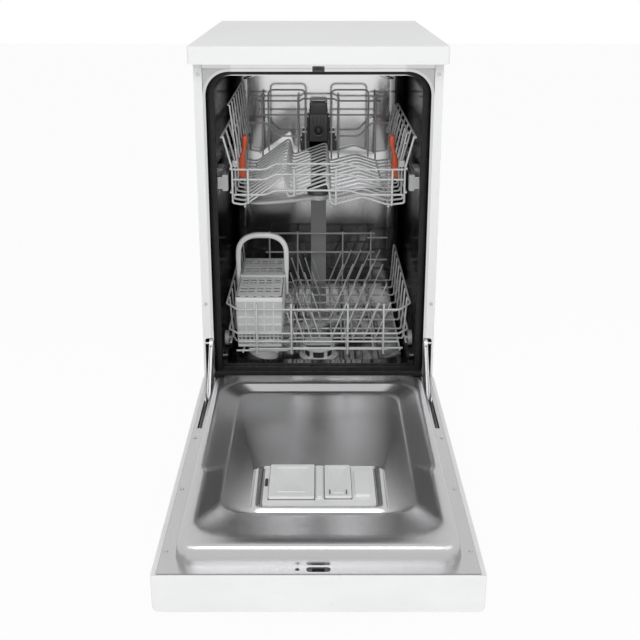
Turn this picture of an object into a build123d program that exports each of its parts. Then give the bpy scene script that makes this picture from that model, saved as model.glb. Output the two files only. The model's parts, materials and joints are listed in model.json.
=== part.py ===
from build123d import *
from math import cos, radians
import os

# A free-standing slimline dishwasher with its door open, in millimetres.
# X runs to the right, +Y to the back, +Z up; the floor is at Z = 0.
os.makedirs("parts", exist_ok=True)

# Overall sizes
worktop_width = 450
worktop_depth = 590
worktop_thickness = 31.6
worktop_corner = 4
worktop_edge = 1.5
overall_height = 850
body_width = worktop_width - 3
body_setback = 60
rear_setback = 14
sheet = 0.8
flange_width = 15.5
body_bottom = 28

# Door and hinge
pivot_setback = 62.4
pivot_height = 209.1
door_reach = 605.9
door_thickness = 58.4
door_width = worktop_width
door_edge_radius = 9.4
door_skirt_reach = 89
skirt_depth = 14
skirt_clearance = 2
fascia_length = 112
fascia_wall = 2.5
fascia_gap = 0.6
door_rim = 6.5
liner_end_gap = 4
liner_tail_setback = 7.4
plateau_rise = 28
plateau_front_gap = 20.5
plateau_tail_setback = 46.8
plateau_draft = 3.4
plateau_corner = 25
recess_drop = 13
recess_floor_half_width = 146
recess_rim = 13.4
recess_near_run = 74
recess_far_run = 41
recess_near_rim = 27
recess_far_rim = 32

# Tub
tub_wall = 0.8
tub_half_width = body_width / 2 - 27
plateau_half_width = tub_half_width + 0.8
tub_top = overall_height - 63
tub_floor = 214
tub_front_setback = 100
tub_back_setback = 540
tub_corner = 36
tub_rear_corner = 32
ledge_height = 233
ledge_half_width = tub_half_width - 15.5
rebate_half_width = tub_half_width + 6.5
rebate_top = tub_top + 12
rebate_bottom = 205
basin_depth = 24
sump_setback = 190

# Seal
seal_inner_half_width = tub_half_width - 5
seal_top = tub_top + 3
seal_thickness = 12
seal_corner = 34

# Racks
wire = 4
thin_wire = 3.2
weld = 0.4
panel_gap = 0.1
upper_front_setback = 100
upper_rear_setback = 500
upper_half_width = 163
lower_front_setback = 98
lower_rear_setback = 500
lower_floor = 246
wheel_radius = 15
wheel_width = 8

# Stations worked out from the sizes above
overall_depth = worktop_depth + door_reach - pivot_setback
face_y = overall_depth / 2 - worktop_depth
body_y = face_y + body_setback
rear_y = face_y + worktop_depth - rear_setback
pivot_y = face_y + pivot_setback
door_end_y = pivot_y - door_reach
worktop_underside = overall_height - worktop_thickness
body_half = body_width / 2
door_half = door_width / 2
door_face_z = pivot_height - pivot_setback
liner_z = door_face_z + door_thickness
plateau_z = liner_z + plateau_rise
recess_z = plateau_z - recess_drop
tub_front_y = face_y + tub_front_setback
tub_back_y = face_y + tub_back_setback
sump_y = face_y + sump_setback


def upright(y):
    """A plane across the machine at depth y, with its local axes along X and Z."""
    return Plane(origin=(0, y, 0), x_dir=(1, 0, 0), z_dir=(0, -1, 0))


def sideways(x):
    """A plane along the machine at x, with its local axes along Y and Z."""
    return Plane(origin=(x, 0, 0), x_dir=(0, 1, 0), z_dir=(1, 0, 0))


def bent_wire(points, gauge, side):
    """A wire of six-sided section along straight runs with mitred bends; side lies across the run."""
    with BuildPart() as run:
        with BuildLine() as path:
            Polyline(*points)
        with BuildSketch(Plane(origin=path.line @ 0, z_dir=path.line % 0, x_dir=side)):
            RegularPolygon(radius=gauge / 2, side_count=6)
        sweep(transition=Transition.RIGHT)
    return run.part


# Worktop
with BuildPart() as worktop:
    with BuildSketch(Plane.XY.offset(worktop_underside)):
        with Locations((0, face_y + worktop_depth / 2)):
            RectangleRounded(worktop_width, worktop_depth, worktop_corner)
    extrude(amount=worktop_thickness)
    chamfer(worktop.faces().sort_by(Axis.Z)[-1].edges(), worktop_edge)
worktop.part.label = "worktop"
export_step(worktop.part, "parts/worktop.step")

# Side panels: bent sheet with a flange along the front, the back and the top
slot_inner = body_half - flange_width
slot_outer = body_half - 4
slot_bottom = 191
slot_top = 285
slot_corner = 5
slot_middle_z = (slot_bottom + slot_top) / 2
sweep_bottom = 92
sweep_top = door_face_z + skirt_depth + 6
for side_name, turn in (("left", -1), ("right", 1)):
    with BuildPart() as side_panel:
        with BuildSketch(Plane.XY.offset(body_bottom)):
            with BuildLine():
                Polyline(
                    (turn * slot_inner, body_y),
                    (turn * body_half, body_y),
                    (turn * body_half, rear_y),
                    (turn * slot_inner, rear_y),
                    (turn * slot_inner, rear_y - sheet),
                    (turn * (body_half - sheet), rear_y - sheet),
                    (turn * (body_half - sheet), body_y + sheet),
                    (turn * slot_inner, body_y + sheet),
                    close=True,
                )
            make_face()
        extrude(amount=worktop_underside - body_bottom)
        with BuildSketch(Plane.XY.offset(worktop_underside - sheet)):
            with Locations((turn * (body_half - flange_width / 2), (body_y + rear_y) / 2)):
                Rectangle(flange_width, rear_y - body_y)
        extrude(amount=sheet)
        with BuildSketch(upright(body_y + sheet)):
            with Locations((turn * (slot_outer + slot_inner - flange_width) / 2, slot_middle_z)):
                RectangleRounded(slot_outer - slot_inner + flange_width, slot_top - slot_bottom, slot_corner)
            with Locations((turn * (body_half - sheet - flange_width / 2), (sweep_bottom + sweep_top) / 2)):
                Rectangle(flange_width, sweep_top - sweep_bottom)
        extrude(amount=2 * sheet, mode=Mode.SUBTRACT)
    side_panel.part.label = side_name + "_side_panel"
    export_step(side_panel.part, "parts/" + side_panel.part.label + ".step")

# Tub: one deep stainless shell, open at the front, with a step for the seal and a basin for the sump
chamber_depth = tub_back_y - tub_front_y
basin_margin = 12
rebate_corner = 43
basin_flat = 150
salt_x = -115
salt_y = face_y + 182
salt_neck_radius = 31
sump_neck_radius = 36
arm_y = face_y + 280
feed_radius = 10
neck_gap = 0.5
flange_lip = 5


def tub_form(grow, front):
    """The space inside the tub out to the plane y = front, or with grow that form thicker all round."""
    with BuildPart() as form:
        with BuildSketch(upright(tub_back_y + grow)) as section:
            with BuildLine():
                Polyline(
                    (-ledge_half_width, tub_floor),
                    (ledge_half_width, tub_floor),
                    (ledge_half_width, ledge_height),
                    (tub_half_width, ledge_height),
                    (tub_half_width, tub_top),
                    (-tub_half_width, tub_top),
                    (-tub_half_width, ledge_height),
                    (-ledge_half_width, ledge_height),
                    close=True,
                )
            make_face()
            fillet(section.vertices().group_by(Axis.Y)[-1], tub_corner)
            if grow:
                offset(amount=grow, kind=Kind.INTERSECTION)
        extrude(amount=chamber_depth + grow + neck_gap)
        rear_edges = form.faces().sort_by(Axis.Y)[-1].edges().filter_by(Axis.Z)
        fillet(rear_edges.sort_by(SortBy.LENGTH)[-2:], tub_rear_corner + grow)
        with BuildSketch(upright(tub_front_y + grow)) as rebate:
            with Locations((0, (rebate_bottom + rebate_top) / 2)):
                Rectangle(2 * (rebate_half_width + grow), rebate_top - rebate_bottom + 2 * grow)
            fillet(rebate.vertices().group_by(Axis.Y)[-1], rebate_corner + grow)
        extrude(amount=tub_front_y + grow - front)
        with BuildSketch(Plane.XY.offset(tub_floor - grow)):
            with Locations((0, (tub_front_y + tub_back_y) / 2)):
                RectangleRounded(
                    2 * (ledge_half_width - basin_margin + grow),
                    chamber_depth - 3 * basin_margin,
                    tub_rear_corner,
                )
        with BuildSketch(Plane.XY.offset(tub_floor - basin_depth - grow)):
            with Locations((0, sump_y)):
                RectangleRounded(basin_flat, basin_flat - 2 * basin_margin, tub_rear_corner)
        loft()
    return form.part


tub_skin = tub_form(tub_wall, body_y)
tub_space = tub_form(0, body_y - 1)
with BuildPart() as tub:
    add(tub_skin)
    with BuildSketch(upright(body_y + sheet)) as tub_flange:
        with Locations((0, (rebate_bottom + rebate_top) / 2)):
            Rectangle(2 * (rebate_half_width + flange_lip), rebate_top - rebate_bottom + 2 * flange_lip)
        fillet(tub_flange.vertices().group_by(Axis.Y)[-1], rebate_corner + flange_lip)
    extrude(amount=sheet)
    add(tub_space, mode=Mode.SUBTRACT)
    with BuildSketch(Plane.XY.offset(rebate_bottom - 2 * basin_depth)):
        with Locations((0, sump_y)):
            Circle(sump_neck_radius + neck_gap)
        with Locations((salt_x, salt_y)):
            Circle(salt_neck_radius + neck_gap)
        with Locations((0, arm_y)):
            Circle(feed_radius + neck_gap)
    extrude(amount=2 * basin_depth + basin_margin, mode=Mode.SUBTRACT)
    for turn in (-1, 1):
        with BuildSketch(upright(body_y + sheet)):
            with Locations((turn * (rebate_half_width + tub_wall + flange_lip), slot_middle_z)):
                Rectangle(2 * flange_lip, slot_top - slot_bottom)
        extrude(amount=2 * sheet, mode=Mode.SUBTRACT)
tub.part.label = "tub"
export_step(tub.part, "parts/tub.step")

# Front crossbar: a folded rail that ties the side panels above the tub opening
crossbar_bottom = rebate_top + flange_lip + 0.4
crossbar_depth = 24
with BuildPart() as front_crossbar:
    with BuildSketch(sideways(-slot_inner + neck_gap)):
        with BuildLine():
            Polyline(
                (body_y, crossbar_bottom),
                (body_y, worktop_underside),
                (body_y + crossbar_depth, worktop_underside),
                (body_y + crossbar_depth, worktop_underside - sheet),
                (body_y + sheet, worktop_underside - sheet),
                (body_y + sheet, crossbar_bottom),
                close=True,
            )
        make_face()
    extrude(amount=2 * (slot_inner - neck_gap))
front_crossbar.part.label = "front_crossbar"
export_step(front_crossbar.part, "parts/front_crossbar.step")

# Latch keeper: a moulded plate with a steel-like tongue that the door lock grips
latch_height = 802
keeper_width = 22
keeper_height = 10
keeper_thickness = 1.2
tongue_width = 14
tongue_thickness = 3
tongue_reach = 13
with BuildPart() as latch_keeper:
    with BuildSketch(upright(body_y)):
        with Locations((0, latch_height + 1.5)):
            RectangleRounded(keeper_width, keeper_height, 2)
    extrude(amount=keeper_thickness)
    with BuildSketch(upright(body_y - keeper_thickness)):
        with Locations((0, latch_height)):
            RectangleRounded(tongue_width, tongue_thickness, 1)
    extrude(amount=tongue_reach - keeper_thickness)
latch_keeper.part.label = "latch_keeper"
export_step(latch_keeper.part, "parts/latch_keeper.step")

# Door seal: a rubber strip up both sides and across the top of the rebate, with a raised lip
seal_gap = 0.1
seal_lip_width = 8
seal_base = 8
seal_back_y = tub_front_y - seal_gap
with BuildPart() as door_seal:
    for back, thickness, outer_half, outer_top, outer_corner in (
        (
            seal_back_y,
            seal_base,
            rebate_half_width - seal_gap,
            rebate_top - seal_gap,
            rebate_corner - seal_gap,
        ),
        (
            seal_back_y - seal_base,
            seal_thickness - seal_base,
            seal_inner_half_width + seal_lip_width,
            seal_top + seal_lip_width,
            seal_corner + seal_lip_width,
        ),
    ):
        with BuildSketch(upright(back)) as ring:
            with Locations((0, (rebate_bottom + seal_gap + outer_top) / 2)):
                Rectangle(2 * outer_half, outer_top - rebate_bottom - seal_gap)
            fillet(ring.vertices().group_by(Axis.Y)[-1], outer_corner)
        extrude(amount=thickness)
    with BuildSketch(upright(seal_back_y)) as clear:
        with Locations((0, tub_floor)):
            Rectangle(2 * seal_inner_half_width, 2 * (seal_top - tub_floor))
        fillet(clear.vertices().group_by(Axis.Y)[-1], seal_corner)
    extrude(amount=seal_thickness, mode=Mode.SUBTRACT)
door_seal.part.label = "door_seal"
export_step(door_seal.part, "parts/door_seal.step")

# Lower door seal: a lipped strip along the tub's lower edge
lower_seal_depth = 11
lower_seal_rise = 8.6
with BuildPart() as lower_door_seal:
    with BuildSketch(sideways(seal_gap - rebate_half_width)):
        with BuildLine():
            Polyline(
                (body_y + sheet, rebate_bottom + seal_gap),
                (body_y + lower_seal_depth, rebate_bottom + seal_gap),
                (body_y + lower_seal_depth, rebate_bottom + lower_seal_rise / 2),
                (body_y + lower_seal_depth / 2, rebate_bottom + lower_seal_rise),
                (body_y + 2 * sheet, rebate_bottom + lower_seal_rise),
                (body_y + sheet, rebate_bottom + lower_seal_rise - sheet),
                close=True,
            )
        make_face()
    extrude(amount=2 * (rebate_half_width - seal_gap))
lower_door_seal.part.label = "lower_door_seal"
export_step(lower_door_seal.part, "parts/lower_door_seal.step")

# Base tray: a moulded pan on the floor side that carries the tub on two cradle walls
base_half = body_half - sheet - 0.7
base_bottom = 20
base_wall = 3
base_rim = 92
base_rear_rim = 160
base_front_y = face_y + 82
base_back_y = rear_y - sheet - 0.2
sweep_radius = 118
base_tall_y = pivot_y + sweep_radius
base_corner = 8
cradle_x = 188
cradle_wall = 4
cradle_top = ledge_height - tub_wall - 0.2
foot_x = 195
foot_rows = (base_front_y + 30, base_back_y - 30)
foot_stem_radius = 5
foot_pad_radius = 17
foot_pad_height = 9
foot_stem_top = 44
inlet_x = -150
inlet_z = 110
inlet_radius = 12.5
outlet_x = 60
outlet_z = 62
outlet_radius = 10
gland_x = 150
gland_z = 116
gland_radius = 9
with BuildPart() as base_tray:
    for low, front, top in (
        (base_bottom, base_front_y, base_rim),
        (base_bottom, base_tall_y, base_rear_rim),
    ):
        with BuildSketch(Plane.XY.offset(low)) as pan:
            with Locations((0, (front + base_back_y) / 2)):
                Rectangle(2 * base_half, base_back_y - front)
            chamfer(pan.vertices(), base_corner)
        extrude(amount=top - low)
    for front, top in ((base_front_y, base_rim), (base_tall_y, base_rear_rim)):
        with BuildSketch(Plane.XY.offset(base_bottom + base_wall)) as pan_inside:
            with Locations((0, (front + base_back_y) / 2)):
                Rectangle(2 * (base_half - base_wall), base_back_y - front - 2 * base_wall)
            chamfer(pan_inside.vertices(), base_corner - base_wall / 2)
        extrude(amount=top - base_bottom, mode=Mode.SUBTRACT)
    for turn in (-1, 1):
        with BuildSketch(Plane.XY.offset(base_bottom)):
            with Locations((turn * cradle_x, (base_tall_y + tub_back_y) / 2)):
                Rectangle(cradle_wall, tub_back_y - base_tall_y - 2 * base_corner)
        extrude(amount=cradle_top - base_bottom)
        for foot_y in foot_rows:
            with BuildSketch(Plane.XY.offset(base_bottom)):
                with Locations((turn * foot_x, foot_y)):
                    Rectangle(4 * foot_stem_radius, 4 * foot_stem_radius)
            extrude(amount=foot_stem_top - base_bottom - base_wall)
            with BuildSketch(Plane.XY.offset(base_bottom)):
                with Locations((turn * foot_x, foot_y)):
                    Circle(foot_stem_radius + neck_gap / 2)
            extrude(amount=foot_stem_top, mode=Mode.SUBTRACT)
    with BuildSketch(upright(base_back_y)):
        with Locations((inlet_x, inlet_z)):
            Circle(inlet_radius + neck_gap)
        with Locations((outlet_x, outlet_z)):
            Circle(outlet_radius + neck_gap)
        with Locations((gland_x, gland_z)):
            Circle(gland_radius + neck_gap)
    extrude(amount=base_wall, mode=Mode.SUBTRACT)
base_tray.part.label = "base_tray"
export_step(base_tray.part, "parts/base_tray.step")

# Plinth: the kick plate between the side panels
plinth_thickness = 13
plinth_bottom = 8
plinth_top = 90
with BuildPart() as plinth:
    with BuildSketch(Plane.XY.offset(plinth_bottom)):
        with Locations((0, base_front_y - plinth_thickness / 2)):
            Rectangle(2 * base_half, plinth_thickness)
    extrude(amount=plinth_top - plinth_bottom)
    fillet(plinth.edges().filter_by(Axis.X).group_by(Axis.Y)[0], 3)
    with BuildSketch(upright(base_front_y)):
        with Locations((0, (plinth_bottom + plinth_top) / 2)):
            Rectangle(2 * base_half - 20, plinth_top - plinth_bottom - 12)
    extrude(amount=plinth_thickness - 3, mode=Mode.SUBTRACT)
plinth.part.label = "plinth"
export_step(plinth.part, "parts/plinth.step")

# Levelling feet: threaded stems on round pads
with BuildPart() as levelling_feet:
    for foot_y in foot_rows:
        for turn in (-1, 1):
            with BuildSketch(Plane.XY):
                with Locations((turn * foot_x, foot_y)):
                    RegularPolygon(foot_pad_radius, 6)
            extrude(amount=foot_pad_height, taper=6)
            with BuildSketch(Plane.XY.offset(foot_pad_height)):
                with Locations((turn * foot_x, foot_y)):
                    RegularPolygon(foot_stem_radius, 8)
            extrude(amount=foot_stem_top - foot_pad_height)
levelling_feet.part.label = "levelling_feet"
export_step(levelling_feet.part, "parts/levelling_feet.step")

# Hinge brackets: steel plates beside the tub with the pins on which the door arms turn
arm_inner = 204.5
arm_width = 6.5
arm_gap = 0.6
pin_radius = 3
pin_clearance = 0.1
bracket_plate = 2
bracket_inner = arm_inner + arm_width + arm_gap
boss_radius = 7
bracket_low = pivot_height - 34
bracket_foot = 46
bracket_leg_y = pivot_y + sweep_radius + base_wall + base_corner
bracket_leg = 22
spring_post_y = pivot_y + 238
spring_post_z = 170
post_radius = 2
post_reach = 5.6
with BuildPart() as hinge_brackets:
    for turn in (-1, 1):
        with BuildSketch(sideways(turn * bracket_inner)) as plate:
            with BuildLine():
                Polyline(
                    (pivot_y, pivot_height + boss_radius),
                    (pivot_y + 2 * boss_radius, pivot_height - boss_radius / 2),
                    (bracket_leg_y + bracket_leg, pivot_height - 2 * boss_radius),
                    (spring_post_y + boss_radius, spring_post_z + boss_radius),
                    (spring_post_y + boss_radius, spring_post_z - boss_radius),
                    (bracket_leg_y + bracket_leg, spring_post_z - 2 * boss_radius),
                    (bracket_leg_y + bracket_leg, bracket_foot),
                    (bracket_leg_y, bracket_foot),
                    (bracket_leg_y, bracket_low),
                    (pivot_y + boss_radius, bracket_low + boss_radius),
                    (pivot_y, pivot_height - boss_radius),
                    close=True,
                )
            make_face()
            with Locations((pivot_y, pivot_height)):
                Circle(boss_radius)
        extrude(amount=turn * bracket_plate)
        with BuildSketch(sideways(turn * bracket_inner)):
            with Locations((pivot_y, pivot_height)):
                Circle(pin_radius)
        extrude(amount=-turn * (arm_width + arm_gap + 0.2))
        with BuildSketch(sideways(turn * (bracket_inner + bracket_plate))):
            with Locations((spring_post_y, spring_post_z)):
                Circle(post_radius)
        extrude(amount=turn * post_reach)
        with BuildSketch(sideways(turn * (bracket_inner + bracket_plate))):
            with Locations((bracket_leg_y + bracket_leg / 2, (bracket_foot + base_rear_rim) / 2 - 10)):
                Rectangle(bracket_leg - 4, base_rear_rim - bracket_foot - 30)
        extrude(amount=turn * (base_half - base_wall - bracket_inner - bracket_plate - 0.2))
hinge_brackets.part.label = "hinge_brackets"
export_step(hinge_brackets.part, "parts/hinge_brackets.step")

# Sump: the drain bowl under the tub, with a neck through the basin floor
sump_bowl_radius = 48
sump_bowl_y = sump_y + 54
sump_shoulder = 166
sump_floor = 96
sump_wall = 3
basin_floor = tub_floor - basin_depth
with BuildPart() as sump:
    with BuildSketch(Plane.XY.offset(sump_floor)):
        with Locations((0, sump_bowl_y)):
            Circle(sump_bowl_radius)
    extrude(amount=sump_shoulder - sump_floor + 2 * sump_wall)
    with BuildSketch(Plane.XY.offset(sump_shoulder)):
        with Locations((0, sump_y)):
            Circle(sump_neck_radius)
    extrude(amount=basin_floor - sump_shoulder)
    with BuildSketch(Plane.XY.offset(sump_floor + sump_wall)):
        with Locations((0, sump_bowl_y)):
            Circle(sump_bowl_radius - sump_wall)
    extrude(amount=sump_shoulder - sump_floor, mode=Mode.SUBTRACT)
    with BuildSketch(Plane.XY.offset(sump_shoulder - sump_wall)):
        with Locations((0, sump_y)):
            Circle(sump_neck_radius - sump_wall)
    extrude(amount=basin_floor, mode=Mode.SUBTRACT)
sump.part.label = "sump"
export_step(sump.part, "parts/sump.step")

# Rear panel: pressed sheet with a set-in field
rear_panel_bottom = base_rear_rim + 6
rear_field_margin = 22
rear_field_depth = 3
with BuildPart() as rear_panel:
    rear_panel_half = slot_inner - neck_gap
    rear_panel_height = worktop_underside - 0.4 - rear_panel_bottom
    for start, thickness, trim, mode in (
        (rear_y, sheet, 0, Mode.ADD),
        (rear_y, rear_field_depth + sheet, rear_field_margin, Mode.ADD),
        (rear_y, rear_field_depth, rear_field_margin + sheet, Mode.SUBTRACT),
    ):
        with BuildSketch(upright(start)):
            with Locations((0, rear_panel_bottom + rear_panel_height / 2)):
                RectangleRounded(2 * (rear_panel_half - trim), rear_panel_height - 2 * trim, 4)
        extrude(amount=thickness, mode=mode)
rear_panel.part.label = "rear_panel"
export_step(rear_panel.part, "parts/rear_panel.step")

# Circulation pump: motor and housing lying across the base, bolted to a foot
pump_gap = 0.3
pump_radius = 36
pump_y = sump_bowl_y
pump_z = 128
pump_start = sump_bowl_radius + pump_gap
pump_neck_radius = 14
pump_neck_length = 16
pump_stages = ((62, 84, pump_radius), (84, 146, pump_radius - 6), (146, 156, 16))
pump_foot_x = 100
pump_foot_length = 60
pump_foot_width = 30
base_floor = base_bottom + base_wall + pump_gap
with BuildPart() as circulation_pump:
    with BuildSketch(sideways(pump_start)):
        with Locations((pump_y, pump_z)):
            Circle(pump_neck_radius)
    extrude(amount=pump_neck_length)
    for start, end, radius in pump_stages:
        with BuildSketch(sideways(start)):
            with Locations((pump_y, pump_z)):
                Circle(radius)
        extrude(amount=end - start)
    with BuildSketch(Plane.XY.offset(base_floor)):
        with Locations((pump_foot_x, pump_y)):
            Rectangle(pump_foot_length, pump_foot_width)
    extrude(amount=pump_z - base_floor)
circulation_pump.part.label = "circulation_pump"
export_step(circulation_pump.part, "parts/circulation_pump.step")

# Drain pump: a small motor behind the sump
drain_x = -20
drain_y = sump_bowl_y + sump_bowl_radius + 12
drain_z = sump_floor + 26
drain_stages = ((10, 30, 24), (30, 66, 20))
drain_neck_radius = 9
drain_neck_start = 12
drain_neck_length = 24.6
drain_foot_width = 24
drain_foot_length = 30
drain_foot_setback = 38
with BuildPart() as drain_pump:
    for start, end, radius in drain_stages:
        with BuildSketch(upright(drain_y + end)):
            with Locations((drain_x, drain_z)):
                Circle(radius)
        extrude(amount=end - start)
    with BuildSketch(upright(drain_y + drain_neck_start)):
        with Locations((drain_x, drain_z)):
            Circle(drain_neck_radius)
    extrude(amount=drain_neck_length)
    with BuildSketch(Plane.XY.offset(base_floor)):
        with Locations((drain_x, drain_y + drain_foot_setback)):
            Rectangle(drain_foot_width, drain_foot_length)
    extrude(amount=drain_z - base_floor)
drain_pump.part.label = "drain_pump"
export_step(drain_pump.part, "parts/drain_pump.step")

# Water softener: the resin and salt tank with its neck through the tub floor
softener_left = cradle_wall / 2 - cradle_x + 2
softener_right = -64
softener_front_y = base_tall_y + base_wall + 4
softener_length = 140
softener_top = 169
softener_corner = 12
salt_neck_top = 210
salt_neck_wall = 3
with BuildPart() as water_softener:
    with BuildSketch(Plane.XY.offset(base_floor)):
        with Locations(((softener_left + softener_right) / 2, softener_front_y + softener_length / 2)):
            RectangleRounded(softener_right - softener_left, softener_length, softener_corner)
    extrude(amount=softener_top - base_floor)
    with BuildSketch(Plane.XY.offset(softener_top - salt_neck_wall)):
        with Locations((salt_x, salt_y)):
            Circle(salt_neck_radius)
    extrude(amount=salt_neck_top - softener_top + salt_neck_wall)
    with BuildSketch(Plane.XY.offset(softener_top)):
        with Locations((salt_x, salt_y)):
            Circle(salt_neck_radius - salt_neck_wall)
    extrude(amount=salt_neck_top - softener_top, mode=Mode.SUBTRACT)
water_softener.part.label = "water_softener"
export_step(water_softener.part, "parts/water_softener.step")

# Salt cap: the screwed lid on the softener neck, with a grip bar
cap_gap = 0.3
cap_skirt = 3
cap_height = 6
grip_height = 5.5
grip_length = 46
grip_width = 9
cap_plug_depth = 12
with BuildPart() as salt_cap:
    with BuildSketch(Plane.XY.offset(salt_neck_top + cap_gap)):
        with Locations((salt_x, salt_y)):
            Circle(salt_neck_radius - 1)
    extrude(amount=cap_height)
    with BuildSketch(Plane.XY.offset(salt_neck_top + cap_gap)):
        with Locations((salt_x, salt_y)):
            Circle(salt_neck_radius - salt_neck_wall - cap_gap)
    extrude(amount=-cap_plug_depth)
    with BuildSketch(Plane.XY.offset(salt_neck_top + cap_gap + cap_height)):
        with Locations((salt_x, salt_y)):
            RectangleRounded(grip_length, grip_width, grip_width / 3)
    extrude(amount=grip_height)
salt_cap.part.label = "salt_cap"
export_step(salt_cap.part, "parts/salt_cap.step")

# Water distributor: the flat moulded chamber beside the tub
distributor_front_y = face_y + 200
distributor_length = 220
distributor_low = 330
distributor_high = 700
distributor_inner = tub_half_width + tub_wall + 0.4
distributor_thickness = 17
distributor_corner = 20
distributor_y = distributor_front_y + distributor_length / 2
field_height = 60
field_pitch = 84
field_depth = 4
with BuildPart() as water_distributor:
    with BuildSketch(sideways(-distributor_inner)):
        with Locations((distributor_y, (distributor_low + distributor_high) / 2)):
            RectangleRounded(distributor_length, distributor_high - distributor_low, distributor_corner)
    extrude(amount=-distributor_thickness)
    with BuildSketch(sideways(-distributor_inner - distributor_thickness)):
        for row in range(4):
            with Locations((distributor_y, distributor_low + field_height + field_pitch * row)):
                Rectangle(distributor_length - 2 * distributor_corner, field_height)
    extrude(amount=field_depth, mode=Mode.SUBTRACT)
water_distributor.part.label = "water_distributor"
export_step(water_distributor.part, "parts/water_distributor.step")

# Inlet valve: the solenoid body inside and its threaded stub through the back of the base
valve_back_y = base_back_y - base_wall - cap_gap
connector_end_y = face_y + worktop_depth - 2
valve_size = 40
valve_depth = 30
valve_corner = 6
solenoid_radius = 12
solenoid_length = 28
thread_wall = 4
with BuildPart() as inlet_valve:
    with BuildSketch(upright(valve_back_y)):
        with Locations((inlet_x, inlet_z)):
            RectangleRounded(valve_size, valve_size, valve_corner)
    extrude(amount=valve_depth)
    with BuildSketch(upright(valve_back_y - valve_depth)):
        with Locations((inlet_x, inlet_z)):
            Circle(solenoid_radius)
    extrude(amount=solenoid_length)
    with BuildSketch(upright(connector_end_y)):
        with Locations((inlet_x, inlet_z)):
            Circle(inlet_radius)
            Circle(inlet_radius - thread_wall, mode=Mode.SUBTRACT)
    extrude(amount=connector_end_y - valve_back_y)
inlet_valve.part.label = "inlet_valve"
export_step(inlet_valve.part, "parts/inlet_valve.step")

# Drain outlet: a barbed spigot with a collar on the inside of the base wall
spigot_reach = 24
spigot_wall = 3
spigot_collar = 5
spigot_collar_thickness = 4
with BuildPart() as drain_outlet:
    with BuildSketch(upright(connector_end_y)):
        with Locations((outlet_x, outlet_z)):
            Circle(outlet_radius)
    extrude(amount=connector_end_y - valve_back_y + spigot_reach)
    with BuildSketch(upright(valve_back_y)):
        with Locations((outlet_x, outlet_z)):
            Circle(outlet_radius + spigot_collar)
    extrude(amount=spigot_collar_thickness)
    with BuildSketch(upright(connector_end_y)):
        with Locations((outlet_x, outlet_z)):
            Circle(outlet_radius - spigot_wall)
    extrude(amount=connector_end_y - valve_back_y + spigot_reach, mode=Mode.SUBTRACT)
drain_outlet.part.label = "drain_outlet"
export_step(drain_outlet.part, "parts/drain_outlet.step")

# Power inlet: an empty cable gland with its lock nut
gland_end_y = connector_end_y - 3
nut_margin = 4
nut_thickness = 5
gland_wall = 5
with BuildPart() as power_inlet:
    with BuildSketch(upright(gland_end_y)):
        with Locations((gland_x, gland_z)):
            Circle(gland_radius)
    extrude(amount=gland_end_y - valve_back_y)
    with BuildSketch(upright(gland_end_y)):
        with Locations((gland_x, gland_z)):
            RegularPolygon(gland_radius + nut_margin, 6)
    extrude(amount=gland_end_y - base_back_y - cap_gap)
    with BuildSketch(upright(valve_back_y)):
        with Locations((gland_x, gland_z)):
            RegularPolygon(gland_radius + nut_margin, 6)
    extrude(amount=nut_thickness)
    with BuildSketch(upright(connector_end_y)):
        with Locations((gland_x, gland_z)):
            Circle(gland_radius - gland_wall)
    extrude(amount=2 * (connector_end_y - valve_back_y), mode=Mode.SUBTRACT)
power_inlet.part.label = "power_inlet"
export_step(power_inlet.part, "parts/power_inlet.step")

# Feed pipe: the grey duct from the sump along the floor and up the back, with the lower arm's pivot
duct_half = 18
duct_thickness = 12
duct_top = 640
duct_gap = 0.5
slope_start = sump_y + (basin_flat - 2 * basin_margin) / 2
slope_end = (tub_front_y + tub_back_y) / 2 + (chamber_depth - 3 * basin_margin) / 2
duct_start = arm_y - duct_half
duct_start_z = basin_floor + basin_depth * (duct_start - slope_start) / (slope_end - slope_start)
arm_pin_radius = 6
arm_seat = 222
arm_pin_top = 231
port_height = 610.6
port_radius = 10.6
with BuildPart() as feed_pipe:
    with BuildSketch(sideways(-duct_half)):
        with BuildLine():
            Polyline(
                (duct_start, duct_start_z + duct_gap),
                (slope_end, tub_floor + duct_gap),
                (tub_back_y - duct_gap, tub_floor + duct_gap),
                (tub_back_y - duct_gap, duct_top),
                (tub_back_y - duct_gap - duct_thickness, duct_top),
                (tub_back_y - duct_gap - duct_thickness, tub_floor + duct_gap + duct_thickness),
                (slope_end, tub_floor + duct_gap + duct_thickness),
                (duct_start, duct_start_z + duct_gap + duct_thickness),
                close=True,
            )
        make_face()
    extrude(amount=2 * duct_half)
    for low, high, radius in (
        (sump_shoulder + 2 * sump_wall + cap_gap, arm_seat, feed_radius),
        (tub_floor - 6, arm_seat, feed_radius + 4),
        (arm_seat, arm_pin_top, arm_pin_radius),
    ):
        with BuildSketch(Plane.XY.offset(low)):
            with Locations((0, arm_y)):
                Circle(radius)
        extrude(amount=high - low)
    with BuildSketch(upright(tub_back_y - duct_gap - duct_thickness / 2)):
        with Locations((0, port_height)):
            Circle(port_radius)
    extrude(amount=duct_thickness, mode=Mode.SUBTRACT)
feed_pipe.part.label = "feed_pipe"
export_step(feed_pipe.part, "parts/feed_pipe.step")

# Lower spray arm: two flat blades turned about a round hub, with jet holes
arm_half_length = 152
arm_blade_width = 34
arm_hub_radius = 20
lower_arm_bottom = arm_seat + cap_gap
lower_arm_thickness = 10
lower_arm_turn = 25
jet_radius = 2.5
jet_depth = 2
jet_places = (42, 68, 94, 120, 138)


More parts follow.
